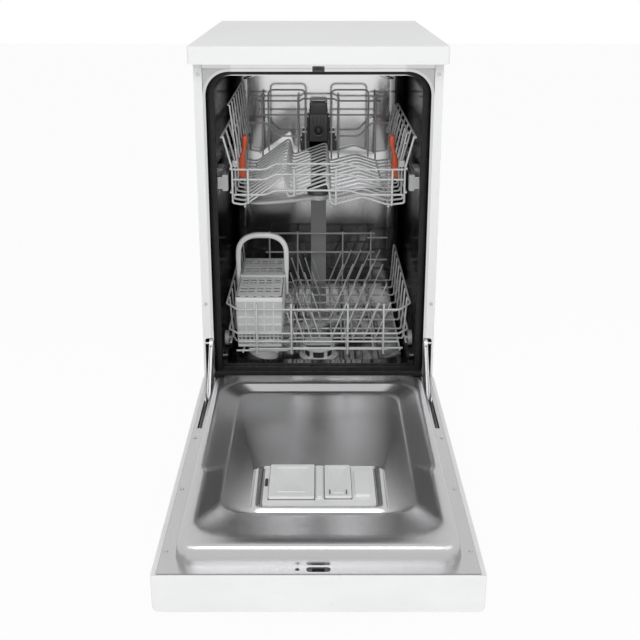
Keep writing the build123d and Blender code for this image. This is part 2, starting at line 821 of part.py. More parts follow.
def spray_arm(bottom, thickness, centre_y, turn, hole_low, hole_high):
    """A two-bladed arm with its underside at the given height, with a blind hole round its pin."""
    along = Vector(1, 0, 0).rotate(Axis.Z, turn)
    with BuildPart() as arm:
        with BuildSketch(Plane(origin=(0, centre_y, bottom), x_dir=along)):
            with BuildLine():
                Polyline(
                    (-arm_half_length, -arm_blade_width / 2 + 8),
                    (-arm_half_length + 12, -arm_blade_width / 2),
                    (-arm_hub_radius, -arm_blade_width / 2 + 4),
                    (arm_hub_radius, -arm_blade_width / 2),
                    (arm_half_length - 8, -arm_blade_width / 2 + 4),
                    (arm_half_length, -arm_blade_width / 2 + 12),
                    (arm_half_length, arm_blade_width / 2 - 8),
                    (arm_half_length - 12, arm_blade_width / 2),
                    (arm_hub_radius, arm_blade_width / 2 - 4),
                    (-arm_hub_radius, arm_blade_width / 2),
                    (-arm_half_length + 8, arm_blade_width / 2 - 4),
                    (-arm_half_length, arm_blade_width / 2 - 12),
                    close=True,
                )
            make_face()
        extrude(amount=thickness, taper=12)
        with BuildSketch(Plane.XY.offset(bottom)):
            with Locations((0, centre_y)):
                Circle(arm_hub_radius)
        extrude(amount=thickness)
        with BuildSketch(Plane.XY.offset(hole_low)):
            with Locations((0, centre_y)):
                Circle(arm_pin_radius + pin_clearance)
        extrude(amount=hole_high - hole_low, mode=Mode.SUBTRACT)
        with BuildSketch(Plane(origin=(0, centre_y, bottom + thickness), x_dir=along)):
            for place in jet_places:
                with Locations((place, 0), (-place, 0)):
                    RegularPolygon(jet_radius, 4)
        extrude(amount=-jet_depth, mode=Mode.SUBTRACT)
    return arm.part


lower_spray_arm = spray_arm(
    lower_arm_bottom, lower_arm_thickness, arm_y, lower_arm_turn, lower_arm_bottom, arm_pin_top + cap_gap
)
lower_spray_arm.label = "lower_spray_arm"
export_step(lower_spray_arm, "parts/lower_spray_arm.step")

# Filter plate: a sheet-metal strainer lying in the basin
plate_rise = 0.3
plate_thickness = 1.5
plate_half = 68
cup_radius = 30
with BuildPart() as filter_plate:
    with BuildSketch(Plane.XY.offset(basin_floor + plate_rise)):
        with Locations((0, sump_y)):
            RectangleRounded(2 * plate_half, basin_flat - 2 * basin_margin - 10, 26)
            Circle(cup_radius + neck_gap, mode=Mode.SUBTRACT)
    extrude(amount=plate_thickness)
filter_plate.part.label = "filter_plate"
export_step(filter_plate.part, "parts/filter_plate.step")

# Filter cup: the round micro filter that locks into the sump with a quarter twist
cup_flange_radius = 40
cup_wall = 1.5
cup_flange_z = basin_floor + plate_rise + plate_thickness + 0.2
cup_bottom = sump_shoulder
cup_window_top = 212
cup_window_bottom = cup_flange_z + 3.5
cup_top = 218
cup_ring_radius = 34
cup_window_width = 14
cup_window_frame = 2
cup_bridge_width = 8
cup_bridge_depth = 4
with BuildPart() as filter_cup:
    for low, high, radius in (
        (cup_bottom, cup_window_top, cup_radius),
        (cup_flange_z, cup_flange_z + 2, cup_flange_radius),
        (cup_window_top, cup_top, cup_ring_radius),
    ):
        with BuildSketch(Plane.XY.offset(low)):
            with Locations((0, sump_y)):
                Circle(radius)
        extrude(amount=high - low)
    with BuildSketch(Plane.XY.offset(cup_bottom + cup_wall)):
        with Locations((0, sump_y)):
            Circle(cup_radius - cup_wall)
    extrude(amount=cup_top - cup_bottom, mode=Mode.SUBTRACT)
    for angle in (0, 60, 120):
        with BuildSketch(Plane.XY.offset(cup_window_bottom)):
            with Locations(Location((0, sump_y, 0), (0, 0, angle))):
                Rectangle(3 * cup_radius, cup_window_width)
        extrude(amount=cup_window_top - cup_window_frame - cup_window_bottom, mode=Mode.SUBTRACT)
    with BuildSketch(Plane.XY.offset(cup_top - cup_bridge_depth)):
        with Locations((0, sump_y)):
            Rectangle(2 * cup_radius, cup_bridge_width)
    extrude(amount=cup_bridge_depth)
filter_cup.part.label = "filter_cup"
export_step(filter_cup.part, "parts/filter_cup.step")

# Cabinet screws: flat heads that fix the side panels to the tub frame
screw_x = body_half - 7.7
screw_heights = (356, 794.3)
screw_head_radius = 3.5
screw_sides = 8
with BuildPart() as cabinet_screws:
    with BuildSketch(upright(body_y)):
        for turn in (-1, 1):
            for height in screw_heights:
                with Locations((turn * screw_x, height)):
                    RegularPolygon(screw_head_radius, screw_sides)
    extrude(amount=1.2)
cabinet_screws.part.label = "cabinet_screws"
export_step(cabinet_screws.part, "parts/cabinet_screws.step")

# Hinge springs: coil springs from the arm tails to posts on the brackets
tail_y = pivot_y - 2
tail_z = pivot_height + 66
spring_x = bracket_inner + bracket_plate + 4
spring_gauge = 6.4
hook_gauge = 2.2
hook_length = 38
hook_overlap = 2
with BuildPart() as hinge_springs:
    spring_run = Vector(0, spring_post_y - tail_y, spring_post_z - tail_z)
    spring_step = spring_run.normalized()
    spring_length = spring_run.length
    for turn in (-1, 1):
        tail_point = Vector(turn * spring_x, tail_y, tail_z)
        for start, end, gauge in (
            (post_radius + 0.2, hook_length + hook_overlap, hook_gauge),
            (hook_length, spring_length - hook_length, spring_gauge),
            (spring_length - hook_length - hook_overlap, spring_length - post_radius - 0.2, hook_gauge),
        ):
            spring_ends = [tail_point + spring_step * start, tail_point + spring_step * end]
            add(bent_wire(spring_ends, gauge, (1, 0, 0)))
hinge_springs.part.label = "hinge_springs"
export_step(hinge_springs.part, "parts/hinge_springs.step")

# Rack rails: steel channels, open towards the rack, that slide in guides on the tub walls
rail_inner = 182
rail_outer = 190
rail_low = 574
rail_high = 596
rail_sheet = 1.5
rail_front_y = face_y + upper_front_setback
rail_back_y = face_y + upper_rear_setback
rail_z = (rail_low + rail_high) / 2
with BuildPart() as rack_rails:
    for turn in (-1, 1):
        with BuildSketch(upright(rail_back_y)):
            with BuildLine():
                Polyline(
                    (turn * rail_inner, rail_low),
                    (turn * rail_outer, rail_low),
                    (turn * rail_outer, rail_high),
                    (turn * rail_inner, rail_high),
                    (turn * rail_inner, rail_high - rail_sheet),
                    (turn * (rail_outer - rail_sheet), rail_high - rail_sheet),
                    (turn * (rail_outer - rail_sheet), rail_low + rail_sheet),
                    (turn * rail_inner, rail_low + rail_sheet),
                    close=True,
                )
            make_face()
        extrude(amount=rail_back_y - rail_front_y)
rack_rails.part.label = "rack_rails"
export_step(rack_rails.part, "parts/rack_rails.step")

# Rail guides: four clips on the tub walls that hold the rails
guide_rows = (face_y + 170, face_y + 330)
guide_length = 40
guide_gap = 0.4
guide_back = tub_half_width - 0.2
guide_lip = 5
guide_lip_inner = 186
with BuildPart() as rail_guides:
    for turn in (-1, 1):
        for guide_y in guide_rows:
            with BuildSketch(upright(guide_y + guide_length / 2)):
                with BuildLine():
                    Polyline(
                        (turn * guide_back, rail_low - guide_gap - guide_lip),
                        (turn * guide_back, rail_high + guide_gap + guide_lip),
                        (turn * guide_lip_inner, rail_high + guide_gap + guide_lip),
                        (turn * guide_lip_inner, rail_high + guide_gap),
                        (turn * (rail_outer + guide_gap), rail_high + guide_gap),
                        (turn * (rail_outer + guide_gap), rail_low - guide_gap),
                        (turn * guide_lip_inner, rail_low - guide_gap),
                        (turn * guide_lip_inner, rail_low - guide_gap - guide_lip),
                        close=True,
                    )
                make_face()
            extrude(amount=guide_length)
rail_guides.part.label = "rail_guides"
export_step(rail_guides.part, "parts/rail_guides.step")

# Rail end stops: grey moulded caps on the front of the rails
stop_length = 12
stop_inner = 171
stop_outer = rail_outer - rail_sheet - 0.2
with BuildPart() as rail_end_stops:
    for turn in (-1, 1):
        with BuildSketch(upright(rail_front_y + stop_length)):
            with Locations((turn * (stop_inner + stop_outer) / 2, rail_z)):
                Rectangle(stop_outer - stop_inner, rail_high - rail_low - 2 * rail_sheet - 0.4)
        extrude(amount=stop_length)
        with BuildSketch(upright(rail_front_y + stop_length)):
            with Locations((turn * (stop_inner + rail_inner - 0.4) / 2, rail_z)):
                RectangleRounded(rail_inner - 0.4 - stop_inner, rail_high - rail_low + 9, 2)
        extrude(amount=stop_length)
rail_end_stops.part.label = "rail_end_stops"
export_step(rail_end_stops.part, "parts/rail_end_stops.step")

# Door outer panel: folded sheet with inward rims, carried on below the hinge as a narrower skirt
panel_start_y = door_end_y + fascia_length + fascia_gap
panel_end_y = pivot_y - liner_tail_setback
rim_inner = door_half - door_rim
skirt_half = body_half - sheet - skirt_clearance
skirt_end_y = pivot_y + door_skirt_reach
skirt_edge_radius = 4


def door_shell(start, end, wall):
    """The folded door section between two depths, open at both ends."""
    with BuildPart() as shell:
        with BuildSketch(upright(end)) as outside:
            with Locations((0, (door_face_z + liner_z) / 2)):
                Rectangle(door_width, liner_z - door_face_z)
            fillet(outside.vertices().group_by(Axis.Y)[0], door_edge_radius)
        extrude(amount=end - start)
        with BuildSketch(upright(end)) as inside:
            with Locations((0, (door_face_z + liner_z) / 2)):
                Rectangle(door_width - 2 * wall, liner_z - door_face_z - 2 * wall)
            fillet(inside.vertices().group_by(Axis.Y)[0], door_edge_radius - wall)
            with Locations((0, liner_z)):
                Rectangle(2 * rim_inner, 4 * wall)
        extrude(amount=end - start, mode=Mode.SUBTRACT)
    return shell.part


with BuildPart() as door_outer_panel:
    add(door_shell(panel_start_y, panel_end_y, sheet))
    with BuildSketch(upright(skirt_end_y)) as skirt:
        with Locations((0, door_face_z + skirt_depth / 2)):
            Rectangle(2 * skirt_half, skirt_depth)
        fillet(skirt.vertices().group_by(Axis.Y)[0], skirt_edge_radius)
    extrude(amount=skirt_end_y - panel_end_y + sheet)
    with BuildSketch(upright(skirt_end_y - sheet)) as skirt_inside:
        with Locations((0, door_face_z + sheet + skirt_depth / 2)):
            Rectangle(2 * (skirt_half - sheet), skirt_depth)
        fillet(skirt_inside.vertices().group_by(Axis.Y)[0], skirt_edge_radius - sheet)
    extrude(amount=skirt_end_y - panel_end_y, mode=Mode.SUBTRACT)
door_outer_panel.part.label = "door_outer_panel"
export_step(door_outer_panel.part, "parts/door_outer_panel.step")

# Control panel: the moulded fascia across the top of the door, with the grip pocket and three button holes
button_y = door_end_y + 45
button_gap = 0.4
end_button_x = door_half - 55
buttons = (
    ("power_button", -end_button_x, 9),
    ("programme_button", end_button_x - 60, 7),
    ("start_button", end_button_x, 7),
)
grip_half = 70
grip_start = 22
grip_end = 67
grip_depth = 24
grip_corner = 8
with BuildPart() as control_panel:
    add(door_shell(door_end_y, door_end_y + fascia_length, fascia_wall))
    with BuildSketch(upright(door_end_y + fascia_wall)) as end_wall:
        with Locations((0, (door_face_z + liner_z) / 2)):
            Rectangle(door_width, liner_z - door_face_z)
        fillet(end_wall.vertices().group_by(Axis.Y)[0], door_edge_radius)
    extrude(amount=fascia_wall)
    with BuildSketch(Plane.XY.offset(door_face_z + fascia_wall / 2)):
        with Locations((0, door_end_y + (grip_start + grip_end) / 2)):
            RectangleRounded(
                2 * (grip_half + fascia_wall),
                grip_end - grip_start + 2 * fascia_wall,
                grip_corner + fascia_wall,
            )
    extrude(amount=grip_depth + fascia_wall / 2)
    with BuildSketch(Plane.XY.offset(door_face_z)):
        with Locations((0, door_end_y + (grip_start + grip_end) / 2)):
            RectangleRounded(2 * grip_half, grip_end - grip_start, grip_corner)
    extrude(amount=grip_depth, mode=Mode.SUBTRACT)
    with BuildSketch(Plane.XY.offset(door_face_z)):
        for button_name, button_x, button_radius in buttons:
            with Locations((button_x, button_y)):
                Circle(button_radius + button_gap)
    extrude(amount=2 * fascia_wall, mode=Mode.SUBTRACT)
    chamfer(control_panel.edges().filter_by(Axis.X).group_by(Axis.Y)[0].sort_by(Axis.Z)[0], fascia_wall / 2)
control_panel.part.label = "control_panel"
export_step(control_panel.part, "parts/control_panel.step")

# Buttons: round caps with a collar behind the panel
button_stand = 1.5
button_collar = 2
button_travel = 2
collar_z = door_face_z + fascia_wall + button_gap
button_top = collar_z + 3
for button_name, button_x, button_radius in buttons:
    with BuildPart() as button:
        with BuildSketch(Plane.XY.offset(door_face_z - button_stand)):
            with Locations((button_x, button_y)):
                Circle(button_radius)
        extrude(amount=button_top - door_face_z + button_stand)
        with BuildSketch(Plane.XY.offset(collar_z)):
            with Locations((button_x, button_y)):
                Circle(button_radius + button_collar)
        extrude(amount=1.5)
    button.part.label = button_name
    export_step(button.part, "parts/" + button_name + ".step")

# Control board: the boxed electronics behind the fascia, on four posts
board_right = door_half - 39
board_left = board_right - 106
board_x = (board_left + board_right) / 2
board_bottom = button_top + button_travel + 1
board_height = 15
board_start = 14
board_end = 80
board_y = door_end_y + (board_start + board_end) / 2
post_inset = 6
post_size = 5
post_pitch_x = board_right - board_left - 2 * post_inset
post_pitch_y = board_end - board_start - 2 * post_inset
with BuildPart() as control_board:
    with BuildSketch(Plane.XY.offset(board_bottom)):
        with Locations((board_x, board_y)):
            Rectangle(board_right - board_left, board_end - board_start)
    extrude(amount=board_height)
    with BuildSketch(Plane.XY.offset(door_face_z + fascia_wall + 0.3)):
        with Locations((board_x, board_y)):
            with GridLocations(post_pitch_x, post_pitch_y, 2, 2):
                Rectangle(post_size, post_size)
    extrude(amount=board_bottom - door_face_z)
control_board.part.label = "control_board"
export_step(control_board.part, "parts/control_board.step")

# Door latch: the lock body under the liner, hollow where the keeper's tongue enters
latch_start_y = door_end_y + fascia_wall + 0.4
latch_end_y = latch_start_y + 42
latch_width = 60
latch_bottom = door_face_z + grip_depth + fascia_wall + 2
latch_top = liner_z - sheet - 0.4
tongue_y = pivot_y + pivot_height - latch_height
tongue_clearance = 1.5
with BuildPart() as door_latch:
    with BuildSketch(Plane.XY.offset(latch_bottom)):
        with Locations((0, (latch_start_y + latch_end_y) / 2)):
            Rectangle(latch_width, latch_end_y - latch_start_y)
    extrude(amount=latch_top - latch_bottom)
    with BuildSketch(Plane.XY.offset(latch_top)):
        with Locations((0, tongue_y)):
            Rectangle(tongue_width + 2 * tongue_clearance, tongue_thickness + 3 * tongue_clearance)
    extrude(amount=-tongue_reach - tongue_clearance, mode=Mode.SUBTRACT)
door_latch.part.label = "door_latch"
export_step(door_latch.part, "parts/door_latch.step")

# Door liner: one pressed stainless sheet with a raised plateau, a dished recess and a pad for the dispenser
dispenser_left = -83
dispenser_right = 85
dispenser_start_y = face_y - 411
dispenser_end_y = face_y - 306
dispenser_gap = 0.4
pad_left = -99
pad_right = 101
pad_start_y = face_y - 422
pad_end_y = face_y - 301
pad_rise = 5
pad_corner = 8
pad_draft = 20
plateau_start_y = door_end_y + plateau_front_gap
plateau_end_y = pivot_y - plateau_tail_setback
recess_corner = 34
slot_clear = 0.7
lever_slot_inner = arm_inner - slot_clear
lever_slot_outer = arm_inner + arm_width + 1
lever_slot_reach = 209.4
lever_slot_x = (lever_slot_inner + lever_slot_outer) / 2
latch_slot_length = 33
latch_slot_width = 10
latch_hole_x = -28.5
latch_hole_radius = 3
tail_flange_drop = 44


def liner_form(inset):
    """The plateau with its recess and pad, drawn in by the inset on every side."""
    with BuildPart() as form:
        for height, draft in ((liner_z - sheet - inset, 0), (plateau_z - inset, plateau_draft)):
            with BuildSketch(Plane.XY.offset(height)):
                with Locations((0, (plateau_start_y + plateau_end_y) / 2)):
                    RectangleRounded(
                        2 * (plateau_half_width - draft - inset),
                        plateau_end_y - plateau_start_y - 2 * (draft + inset),
                        plateau_corner,
                    )
        loft()
        rim_half = plateau_half_width - plateau_draft - recess_rim
        with BuildSketch(Plane.XY.offset(recess_z - inset)):
            near = plateau_start_y + recess_near_rim + recess_near_run - inset
            far = plateau_end_y - recess_far_rim - recess_far_run + inset
            with Locations((0, (near + far) / 2)):
                RectangleRounded(2 * (recess_floor_half_width + inset), far - near, recess_corner)
        with BuildSketch(Plane.XY.offset(plateau_z)):
            near = plateau_start_y + recess_near_rim - inset
            far = plateau_end_y - recess_far_rim + inset
            with Locations((0, (near + far) / 2)):
                RectangleRounded(2 * (rim_half + inset), far - near, recess_corner + 10)
        loft(mode=Mode.SUBTRACT)
        with BuildSketch(Plane.XY.offset(recess_z - inset)):
            with Locations(((pad_left + pad_right) / 2, (pad_start_y + pad_end_y) / 2)):
                RectangleRounded(
                    pad_right - pad_left - 2 * inset,
                    pad_end_y - pad_start_y - 2 * inset,
                    pad_corner,
                )
        extrude(amount=pad_rise, taper=pad_draft)
    return form.part


liner_outside = liner_form(0)
liner_inside = liner_form(sheet)
with BuildPart() as door_liner:
    with BuildSketch(Plane.XY.offset(liner_z - sheet)):
        with Locations((0, (door_end_y + liner_end_gap + panel_end_y) / 2)):
            Rectangle(2 * rim_inner - 0.4, panel_end_y - door_end_y - liner_end_gap)
    extrude(amount=sheet)
    with BuildSketch(upright(panel_end_y)):
        with Locations((0, liner_z - tail_flange_drop / 2)):
            Rectangle(2 * (lever_slot_inner - 4), tail_flange_drop)
    extrude(amount=sheet)
    add(liner_outside)
    add(liner_inside, mode=Mode.SUBTRACT)
    with BuildSketch(Plane.XY.offset(recess_z - 2 * pad_rise)):
        with Locations(((dispenser_left + dispenser_right) / 2, (dispenser_start_y + dispenser_end_y) / 2)):
            RectangleRounded(
                dispenser_right - dispenser_left + 2 * dispenser_gap,
                dispenser_end_y - dispenser_start_y + 2 * dispenser_gap,
                4,
            )
    extrude(amount=4 * pad_rise, mode=Mode.SUBTRACT)
    with BuildSketch(Plane.XY.offset(liner_z - 2 * sheet)):
        for turn in (-1, 1):
            with Locations((turn * lever_slot_x, pivot_y - lever_slot_reach / 2)):
                Rectangle(lever_slot_outer - lever_slot_inner, lever_slot_reach)
        with Locations((0, tongue_y)):
            SlotOverall(latch_slot_length, latch_slot_width)
        with Locations((latch_hole_x, tongue_y)):
            Circle(latch_hole_radius)
    extrude(amount=4 * sheet, mode=Mode.SUBTRACT)
door_liner.part.label = "door_liner"
export_step(door_liner.part, "parts/door_liner.step")

# Hinge arms: channel-section levers from inside the door round the pivot to the spring tail
arm_outline = (
    (-210, -50),
    (-210, -12),
    (-76, -12),
    (-70, -4),
    (-11, 68),
    (7, 68),
    (8, 60),
    (10, -8),
    (-10, -14),
    (-70, -50),
)
arm_groove = ((-206, -8), (-78, -8), (-73, 0), (-17, 70), (-8, 60), (-56, -8), (-66, -22), (-206, -22))
groove_width = 3.9
tail_radius = 9
tail_pin_radius = 2
with BuildPart() as hinge_arms:
    for turn in (-1, 1):
        with BuildSketch(sideways(turn * arm_inner)):
            with BuildLine():
                Polyline(*[(pivot_y + along, pivot_height + up) for along, up in arm_outline], close=True)
            make_face()
            with Locations((tail_y, tail_z)):
                Circle(tail_radius)
            with Locations((pivot_y, pivot_height)):
                Circle(pin_radius + pin_clearance, mode=Mode.SUBTRACT)
        extrude(amount=turn * arm_width)
        with BuildSketch(sideways(turn * (arm_inner + (arm_width - groove_width) / 2))):
            with BuildLine():
                Polyline(*[(pivot_y + along, pivot_height + up) for along, up in arm_groove], close=True)
            make_face()
        extrude(amount=turn * groove_width, mode=Mode.SUBTRACT)
        with BuildSketch(sideways(turn * (arm_inner + arm_width - 1))):
            with Locations((tail_y, tail_z)):
                Circle(tail_pin_radius)
        extrude(amount=turn * (slot_outer - 0.4 - arm_inner - arm_width + 1))
hinge_arms.part.label = "hinge_arms"
export_step(hinge_arms.part, "parts/hinge_arms.step")

# Dispenser housing: the moulded box through the liner with the detergent and rinse-aid wells
dispenser_top = 226.1
dispenser_bottom = 180
well_depth = 26
detergent_well = (-68, -14, face_y - 392, face_y - 330)
rinse_well = (14, 44, face_y - 390, face_y - 316)
well_corner = 5
raised_keys = ((66, face_y - 358, 22, 62), (1.6, face_y - 352, 10, 84))
key_rise = 4
with BuildPart() as dispenser_housing:
    with BuildSketch(Plane.XY.offset(dispenser_bottom)):
        with Locations(((dispenser_left + dispenser_right) / 2, (dispenser_start_y + dispenser_end_y) / 2)):
            RectangleRounded(dispenser_right - dispenser_left, dispenser_end_y - dispenser_start_y, 4)
    extrude(amount=dispenser_top - dispenser_bottom)
    with BuildSketch(Plane.XY.offset(dispenser_top)):
        for left, right, near, far in (detergent_well, rinse_well):
            with Locations(((left + right) / 2, (near + far) / 2)):
                RectangleRounded(right - left, far - near, well_corner)
    extrude(amount=-well_depth, mode=Mode.SUBTRACT)
    with BuildSketch(Plane.XY.offset(dispenser_top)):
        for key_x, key_y, key_width, key_length in raised_keys:
            with Locations((key_x, key_y)):
                RectangleRounded(key_width, key_length, 2.5)
    extrude(amount=key_rise)
dispenser_housing.part.label = "dispenser_housing"
export_step(dispenser_housing.part, "parts/dispenser_housing.step")

# Detergent lid: slides towards the back; rinse-aid lid: hinged at its back edge
lid_gap = 0.3
lid_base_z = dispenser_top + lid_gap
detergent_lid_rise = 4.5
detergent_lid_x = -40.3
detergent_lid_y = face_y - 352.5
detergent_lid_width = 68.4
detergent_lid_length = 91
finger_y = face_y - 384
finger_depth = 1.5
finger_corner = 3
with BuildPart() as detergent_lid:
    with BuildSketch(Plane.XY.offset(lid_base_z)):
        with Locations((detergent_lid_x, detergent_lid_y)):
            RectangleRounded(detergent_lid_width, detergent_lid_length, 4)
    extrude(amount=detergent_lid_rise)
    chamfer(detergent_lid.faces().sort_by(Axis.Z)[-1].edges(), 1.2)
    with BuildSketch(Plane.XY.offset(lid_base_z + detergent_lid_rise)):
        with Locations((detergent_lid_x, finger_y)):
            RectangleRounded(44, 14, finger_corner)
    extrude(amount=-finger_depth, mode=Mode.SUBTRACT)
detergent_lid.part.label = "detergent_lid"
export_step(detergent_lid.part, "parts/detergent_lid.step")

rinse_lid_rise = 4
rinse_lid_x = 29.4
rinse_lid_y = face_y - 353
rinse_lid_width = 40.2
rinse_lid_length = 86
rinse_barrel_length = 36
rinse_hinge_y = face_y - 307
rinse_barrel_radius = 2
with BuildPart() as rinse_aid_lid:
    with BuildSketch(Plane.XY.offset(lid_base_z)):
        with Locations((rinse_lid_x, rinse_lid_y)):
            RectangleRounded(rinse_lid_width, rinse_lid_length, 3)
    extrude(amount=rinse_lid_rise)
    with BuildSketch(sideways(rinse_lid_x - rinse_barrel_length / 2)):
        with Locations((rinse_hinge_y - 3, lid_base_z + rinse_barrel_radius)):
            Circle(rinse_barrel_radius)
    extrude(amount=rinse_barrel_length)
    with BuildSketch(Plane.XY.offset(lid_base_z + rinse_lid_rise)):
        with Locations((rinse_lid_x, finger_y)):
            RectangleRounded(28, 12, finger_corner)
    extrude(amount=-finger_depth, mode=Mode.SUBTRACT)
rinse_aid_lid.part.label = "rinse_aid_lid"
export_step(rinse_aid_lid.part, "parts/rinse_aid_lid.step")

# Door screws: low heads along the liner's edges
door_screw_x = 212
door_screw_radius = 3.2
door_screw_height = 1
door_screw_rows = (face_y - 490, face_y - 335, face_y - 180)
with BuildPart() as door_screws:
    with BuildSketch(Plane.XY.offset(liner_z)):
        for turn in (-1, 1):
            for row_y in door_screw_rows:
                with Locations((turn * door_screw_x, row_y)):
                    RegularPolygon(door_screw_radius, screw_sides)
    extrude(amount=door_screw_height)
door_screws.part.label = "door_screws"
export_step(door_screws.part, "parts/door_screws.step")


def wire_z(profile, x):
    """The height of a bent cross wire at x, read along its straight runs."""
    for (left, low), (right, high) in zip(profile, profile[1:]):
        if left < right and left <= x <= right:
            return low + (high - low) * (x - left) / (right - left)
    return profile[0][1]


def cross_wire(profile, y, gauge):
    """A wire across the machine at depth y, bent along the profile of (x, z) points."""
    return bent_wire([(x, y, z) for x, z in profile], gauge, (0, 1, 0))


def long_wire(x, z, start, end, gauge):
    """A straight wire along the machine."""
    return bent_wire([(x, start, z), (x, end, z)], gauge, (1, 0, 0))


# Upper rack: a bent wire floor, two flared sides, a stepped front and a tall back, welded where they cross
upper_front_y = face_y + upper_front_setback
upper_rear_y = face_y + upper_rear_setback
upper_profile = (
    (-163, 552),
    (-163, 545),
    (-140, 541),
    (-66, 594),
    (-58, 556),
    (18, 584),
    (24, 541),
    (85, 557),
    (133, 541),
    (163, 545),
    (163, 552),
)
upper_row_count = 13
upper_first_row = upper_front_y + wire + 0.2
upper_last_row = upper_rear_y - 12
upper_pitch = (upper_last_row - upper_first_row) / (upper_row_count - 1)
upper_rows = [upper_first_row + upper_pitch * row for row in range(upper_row_count)]
lap = wire * cos(radians(30)) - weld
upper_side = ((163, 552), (163, 612), (179, 674))
side_rails = ((163, 566), (163, 612), (178.5, 672))
front_post_places = (-133, -46, 33, 139)
front_steps = ((611, 622), (591.6, 601.8), (562, 570.6))
rear_post_places = ((-128.4, 694), (-46.3, 686), (46.1, 686), (131.3, 694))
loop_top = 705
hinge_x = 158
hinge_z = 616
hinge_pin = 1.6
lug_thickness = 4
lug_inner = hinge_x - 4
lug_outer = side_rails[1][0] + lap - wire / 2 - 0.2
shelf_start_y = face_y + 130
shelf_end_y = face_y + 470
upper_panels = []
with BuildPart() as upper_floor:
    add([cross_wire(upper_profile, row, wire) for row in upper_rows])
    add(
        [
            long_wire(x, z - lap, upper_first_row - wire / 2, upper_last_row + wire / 2, wire)
            for x, z in upper_profile[2:9]
            if z < 550
        ]
    )
upper_panels.append(upper_floor.part)
for turn in (-1, 1):
    with BuildPart() as upper_wall:
        wall_profile = [(turn * x, z) for x, z in upper_side]
        wall_profile[0] = (turn * upper_half_width, upper_side[0][1] + panel_gap)
        add([cross_wire(wall_profile, row, wire) for row in upper_rows[::2]])
        add([long_wire(turn * (x + lap), z, upper_front_y, upper_rear_y, wire) for x, z in side_rails])
    upper_panels.append(upper_wall.part)
    for lug_y in (shelf_start_y - lug_thickness / 2 - 1, shelf_end_y + lug_thickness / 2 + 1):
        with BuildPart() as lug:
            with BuildSketch(upright(lug_y + lug_thickness / 2)):
                with Locations((turn * (lug_inner + lug_outer) / 2, hinge_z)):
                    Rectangle(lug_outer - lug_inner, 12)
                with Locations((turn * hinge_x, hinge_z)):
                    Circle(hinge_pin + 0.08, mode=Mode.SUBTRACT)
            extrude(amount=lug_thickness)
        upper_panels.append(lug.part)
with BuildPart() as upper_front:
    front_reach = upper_half_width - wire / 2 - panel_gap
    for side_z, centre_z in front_steps:
        front_profile = (
            (-front_reach, side_z),
            (-100, side_z),
            (-82, centre_z),
            (57, centre_z),
            (85, side_z),
            (front_reach, side_z),
        )
        add(cross_wire(front_profile, upper_front_y, wire))
    for x in front_post_places:
        foot = (x, upper_front_y - lap, wire_z(upper_profile, x) - 1)
        head = (x, upper_front_y - lap, front_steps[0][0] + 2)
        add(bent_wire([foot, head], wire, (1, 0, 0)))
upper_panels.append(upper_front.part)
with BuildPart() as upper_back:
    back_top = ((-137, 678), (-42, 678), (-36, 683), (36, 683), (42, 678), (142, 678))
    add(cross_wire(back_top, upper_rear_y, wire))
    for turn in (-1, 1):
        add(cross_wire([(turn * 26, 646), (turn * 139, 646)], upper_rear_y, wire))
        add(cross_wire([(turn * 161, 688), (turn * 120, 688)], upper_rear_y, wire))
        shoulder = [(turn * x, z) for x, z in ((160.8, 628), (121, 628), (94, 597), (40, 597))]
        add(cross_wire(shoulder, upper_rear_y, wire))
    for x, top in rear_post_places:
        low = wire_z(upper_profile, x)
        post_y = upper_rear_y + lap
        post = [(x, post_y, top), (x, post_y, low), (x, upper_last_row + wire / 2 + 0.2, low)]
        add(bent_wire(post, wire, (1, 0, 0)))
upper_panels.append(upper_back.part)
for inner, outer in ((-29.6, -113.4), (29.6, 113.4)):
    feet = []
    for x in (inner, outer):
        floor_height = max(wire_z(upper_profile, x - wire / 2), wire_z(upper_profile, x + wire / 2))
        feet.append((x, floor_height + wire / 2 + 0.3))
    loop = [feet[0], (inner, loop_top), (outer, loop_top), feet[1]]
    upper_panels.append(cross_wire(loop, upper_last_row, wire))
with BuildPart() as upper_rack:
    add(upper_panels)
upper_rack.part.label = "upper_rack"
export_step(upper_rack.part, "parts/upper_rack.step")

# Cup shelves: hinged wire grilles on the inside of both walls
shelf_lines = {"left": (-170, 728), "right": (170.5, 675)}
shelf_fractions = {"left": (0, 0.5, 1), "right": (0, 0.66, 1)}
shelf_lap = thin_wire * cos(radians(30)) - weld
pin_reach = lug_thickness + 2
slat_count = 8
slat_margin = 4
clip_y = face_y + 251
for side_name, turn in (("left", -1), ("right", 1)):
    with BuildPart() as cup_shelf:
        far_x, far_z = shelf_lines[side_name]
        for pin_end in (shelf_start_y, shelf_end_y + pin_reach):
            with BuildSketch(upright(pin_end)):
                with Locations((turn * hinge_x, hinge_z)):
                    Circle(hinge_pin)
            extrude(amount=pin_reach)
        for fraction in shelf_fractions[side_name]:
            x = turn * hinge_x + (far_x - turn * hinge_x) * fraction
            z = hinge_z + (far_z - hinge_z) * fraction
            add(long_wire(x, z, shelf_start_y, shelf_end_y, thin_wire))
        for row in range(slat_count):
            slat_pitch = (shelf_end_y - shelf_start_y - 2 * slat_margin) / (slat_count - 1)
            row_y = shelf_start_y + slat_margin + slat_pitch * row
            slat = [(turn * (hinge_x - shelf_lap), hinge_z), (far_x - turn * shelf_lap, far_z)]
            add(cross_wire(slat, row_y, thin_wire))
    cup_shelf.part.label = side_name + "_cup_shelf"
    export_step(cup_shelf.part, "parts/" + cup_shelf.part.label + ".step")

